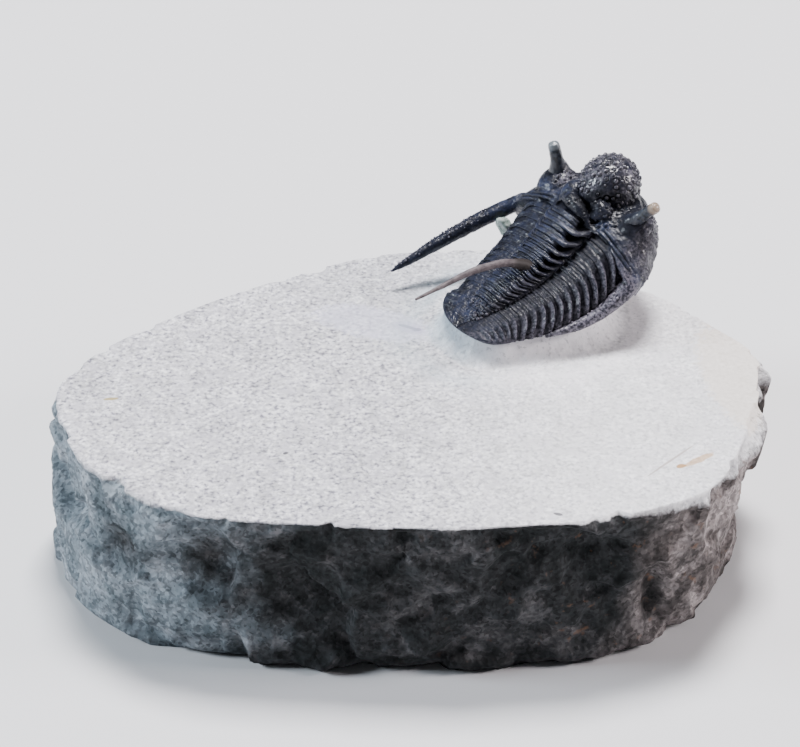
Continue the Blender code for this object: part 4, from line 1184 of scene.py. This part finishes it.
# small warts, scattered where a skin is painted for them
def tubercleTree(material):
    tree = bpy.data.node_groups.new("tubercles", "GeometryNodeTree")
    face = tree.interface
    face.new_socket("Geometry", in_out="OUTPUT", socket_type="NodeSocketGeometry")
    face.new_socket("Geometry", in_out="INPUT", socket_type="NodeSocketGeometry")
    sockets = {}
    for name, kind, value in (("Spacing", "NodeSocketFloat", 0.42), ("Size", "NodeSocketFloat", 0.15),
                              ("Height", "NodeSocketFloat", 0.9), ("Seed", "NodeSocketInt", 3)):
        socket = face.new_socket(name, in_out="INPUT", socket_type=kind)
        socket.default_value = value
        sockets[name] = socket.identifier
    start, end = addNode(tree, "NodeGroupInput"), addNode(tree, "NodeGroupOutput")
    mask = addNode(tree, "GeometryNodeInputNamedAttribute", {"data_type": "FLOAT"}, Name="tubercle")
    scatter = addNode(tree, "GeometryNodeDistributePointsOnFaces", {"distribute_method": "POISSON"})
    finish(scatter, {"Mesh": start.outputs["Geometry"], "Distance Min": start.outputs["Spacing"],
                     "Density Max": 60.0, "Density Factor": mask.outputs["Attribute"],
                     "Seed": start.outputs["Seed"]})
    knob = addNode(tree, "GeometryNodeMeshUVSphere", Segments=8, Rings=5, Radius=1.0)
    knob = addNode(tree, "GeometryNodeSetShadeSmooth", Geometry=knob.outputs["Mesh"])
    vary = addNode(tree, "FunctionNodeRandomValue", {"data_type": "FLOAT"}, i2=0.6, i3=1.3,
                   Seed=start.outputs["Seed"])
    product = {"operation": "MULTIPLY"}
    wide = addNode(tree, "ShaderNodeMath", product, i0=start.outputs["Size"], i1=vary.outputs[1])
    tall = addNode(tree, "ShaderNodeMath", product, i0=wide.outputs[0], i1=start.outputs["Height"])
    scale = addNode(tree, "ShaderNodeCombineXYZ", i0=wide.outputs[0], i1=wide.outputs[0], i2=tall.outputs[0])
    copies = addNode(tree, "GeometryNodeInstanceOnPoints", Points=scatter.outputs["Points"],
                     Instance=knob.outputs["Geometry"], Rotation=scatter.outputs["Rotation"],
                     Scale=scale.outputs[0])
    real = addNode(tree, "GeometryNodeRealizeInstances", Geometry=copies.outputs["Instances"])
    coat = addNode(tree, "GeometryNodeSetMaterial", Geometry=real.outputs["Geometry"], Material=material)
    tree.links.new(coat.outputs["Geometry"], end.inputs["Geometry"])
    return tree, sockets


smallWarts = {      # in millimetres
    "headWarts": {"Spacing": 0.27, "Size": 0.095, "Height": 0.9, "Seed": 4},
    "tailWarts": {"Spacing": 0.24, "Size": 0.13, "Height": 0.9, "Seed": 2},
}


def tuberclesOn(host, name, tree, sockets):
    bearer = bpy.data.objects.new(name, host.data.copy())
    growth = bearer.modifiers.new("tubercles", "NODES")
    growth.node_group = tree
    for key, value in smallWarts[name].items():
        growth[sockets[key]] = value
    return appliedMesh(bearer, name)


# everything onto the frame
# the lilac tone is the colour of a painted highlight
calcites = {        # dark, slate and lilac tones, roughness and coat
    "black_calcite": ((0.006, 0.0065, 0.01), (0.027, 0.034, 0.068), (0.2, 0.185, 0.23), 0.36, 0.12),
    "ball_calcite": ((0.01, 0.01, 0.015), (0.03, 0.034, 0.06), (0.25, 0.235, 0.285), 0.28, 0.4),
    # the warts' dark tone is a paler grey, a painted highlight standing in for their glints
    "wart_calcite": ((0.11, 0.105, 0.13), (0.03, 0.035, 0.06), (0.22, 0.2, 0.24), 0.28, 0.3),
}
blackCalcite, ballCalcite, glintWartCalcite = (fossilMaterial(name, *tones) for name, tones in calcites.items())

stonePiece = makeStone()
print("stone made")
thoraxPiece = makeThorax()
print("thorax made")
headPiece = makeHead()
print("head made")
wartTree, wartSockets = tubercleTree(glintWartCalcite)
headWarts = tuberclesOn(headPiece, "headWarts", wartTree, wartSockets)
tailWarts = tuberclesOn(thoraxPiece, "tailWarts", wartTree, wartSockets)
handOver(stonePiece, stoneMaterial(), "matrix_stone")
handOver(makeWeb(), webMaterial())
for piece in (thoraxPiece, headPiece):
    handOver(piece, blackCalcite, "trilobite")
handOver(makeGlabella(), ballCalcite)
for piece in (headWarts, tailWarts):
    handOver(piece, glintWartCalcite)
handOver(makeAxialSpine(), spineMaterial())
for side in eyes:
    handOver(makeEyeStalk(side), stalkMaterial(side))


# floor, light and camera
studio = {
    "floor": (0.74, 0.74, 0.75),
    "target": (-0.8, 3.7, 12.0),
    "distance": 200.0,
    "elevation": 35.0,
    "lens": 112.5,
    "lamps": {      # place in metres, size, power and colour
        "overhead": ((0.02, 0.16, 0.5), 0.13, 5.9, (1.0, 0.98, 1.0)),
        "coolLeft": ((-0.42, -0.03, 0.22), 0.12, 2.6, (0.82, 0.91, 1.0)),
        "warmRight": ((0.4, -0.02, 0.22), 0.1, 1.8, (1.0, 0.93, 0.95)),
    },
    "lampsAim": (0.0, 0.0, 0.012),
    "sky": 0.06,
    "skyColour": (0.9, 0.93, 1.0, 1.0),
}


def makeFloor():
    mesh = bpy.data.meshes.new("floor")
    mesh.from_pydata([(-1.5, -1.5, 0), (1.5, -1.5, 0), (1.5, 1.5, 0), (-1.5, 1.5, 0)], [], [(0, 1, 2, 3)])
    floor = bpy.data.objects.new("floor", mesh)
    floor.location.z = -0.00002
    material, tree, shader = newMaterial("floor_paper")
    finish(shader, {"Base Color": (*studio["floor"], 1.0), "Roughness": 0.9})
    mesh.materials.append(material)
    addToScene(floor)


def makeLamps():
    for name, (place, size, power, colour) in studio["lamps"].items():
        light = bpy.data.lights.new(name, "AREA")
        light.size, light.energy, light.color = size, power, colour
        lamp = bpy.data.objects.new(name, light)
        lamp.location = place
        aim = Vector(studio["lampsAim"]) - Vector(place)
        lamp.rotation_euler = aim.to_track_quat("-Z", "Y").to_euler()
        addToScene(lamp)
    world = bpy.data.worlds.new("studio")
    world.use_nodes = True
    finish(world.node_tree.nodes["Background"], {"Color": studio["skyColour"], "Strength": studio["sky"]})
    bpy.context.scene.world = world


def makeCamera():
    camera = bpy.data.cameras.new("camera")
    camera.lens, camera.sensor_width = studio["lens"], 36.0
    camera.clip_start, camera.clip_end = 0.01, 5.0
    holder = bpy.data.objects.new("camera", camera)
    tilt = radians(studio["elevation"])
    back = Vector((0.0, -cos(tilt), sin(tilt)))
    holder.location = (Vector(studio["target"]) + back * studio["distance"]) * mm
    holder.rotation_euler = (-back).to_track_quat("-Z", "Y").to_euler()
    addToScene(holder)
    bpy.context.scene.camera = holder


makeFloor()
makeLamps()
makeCamera()
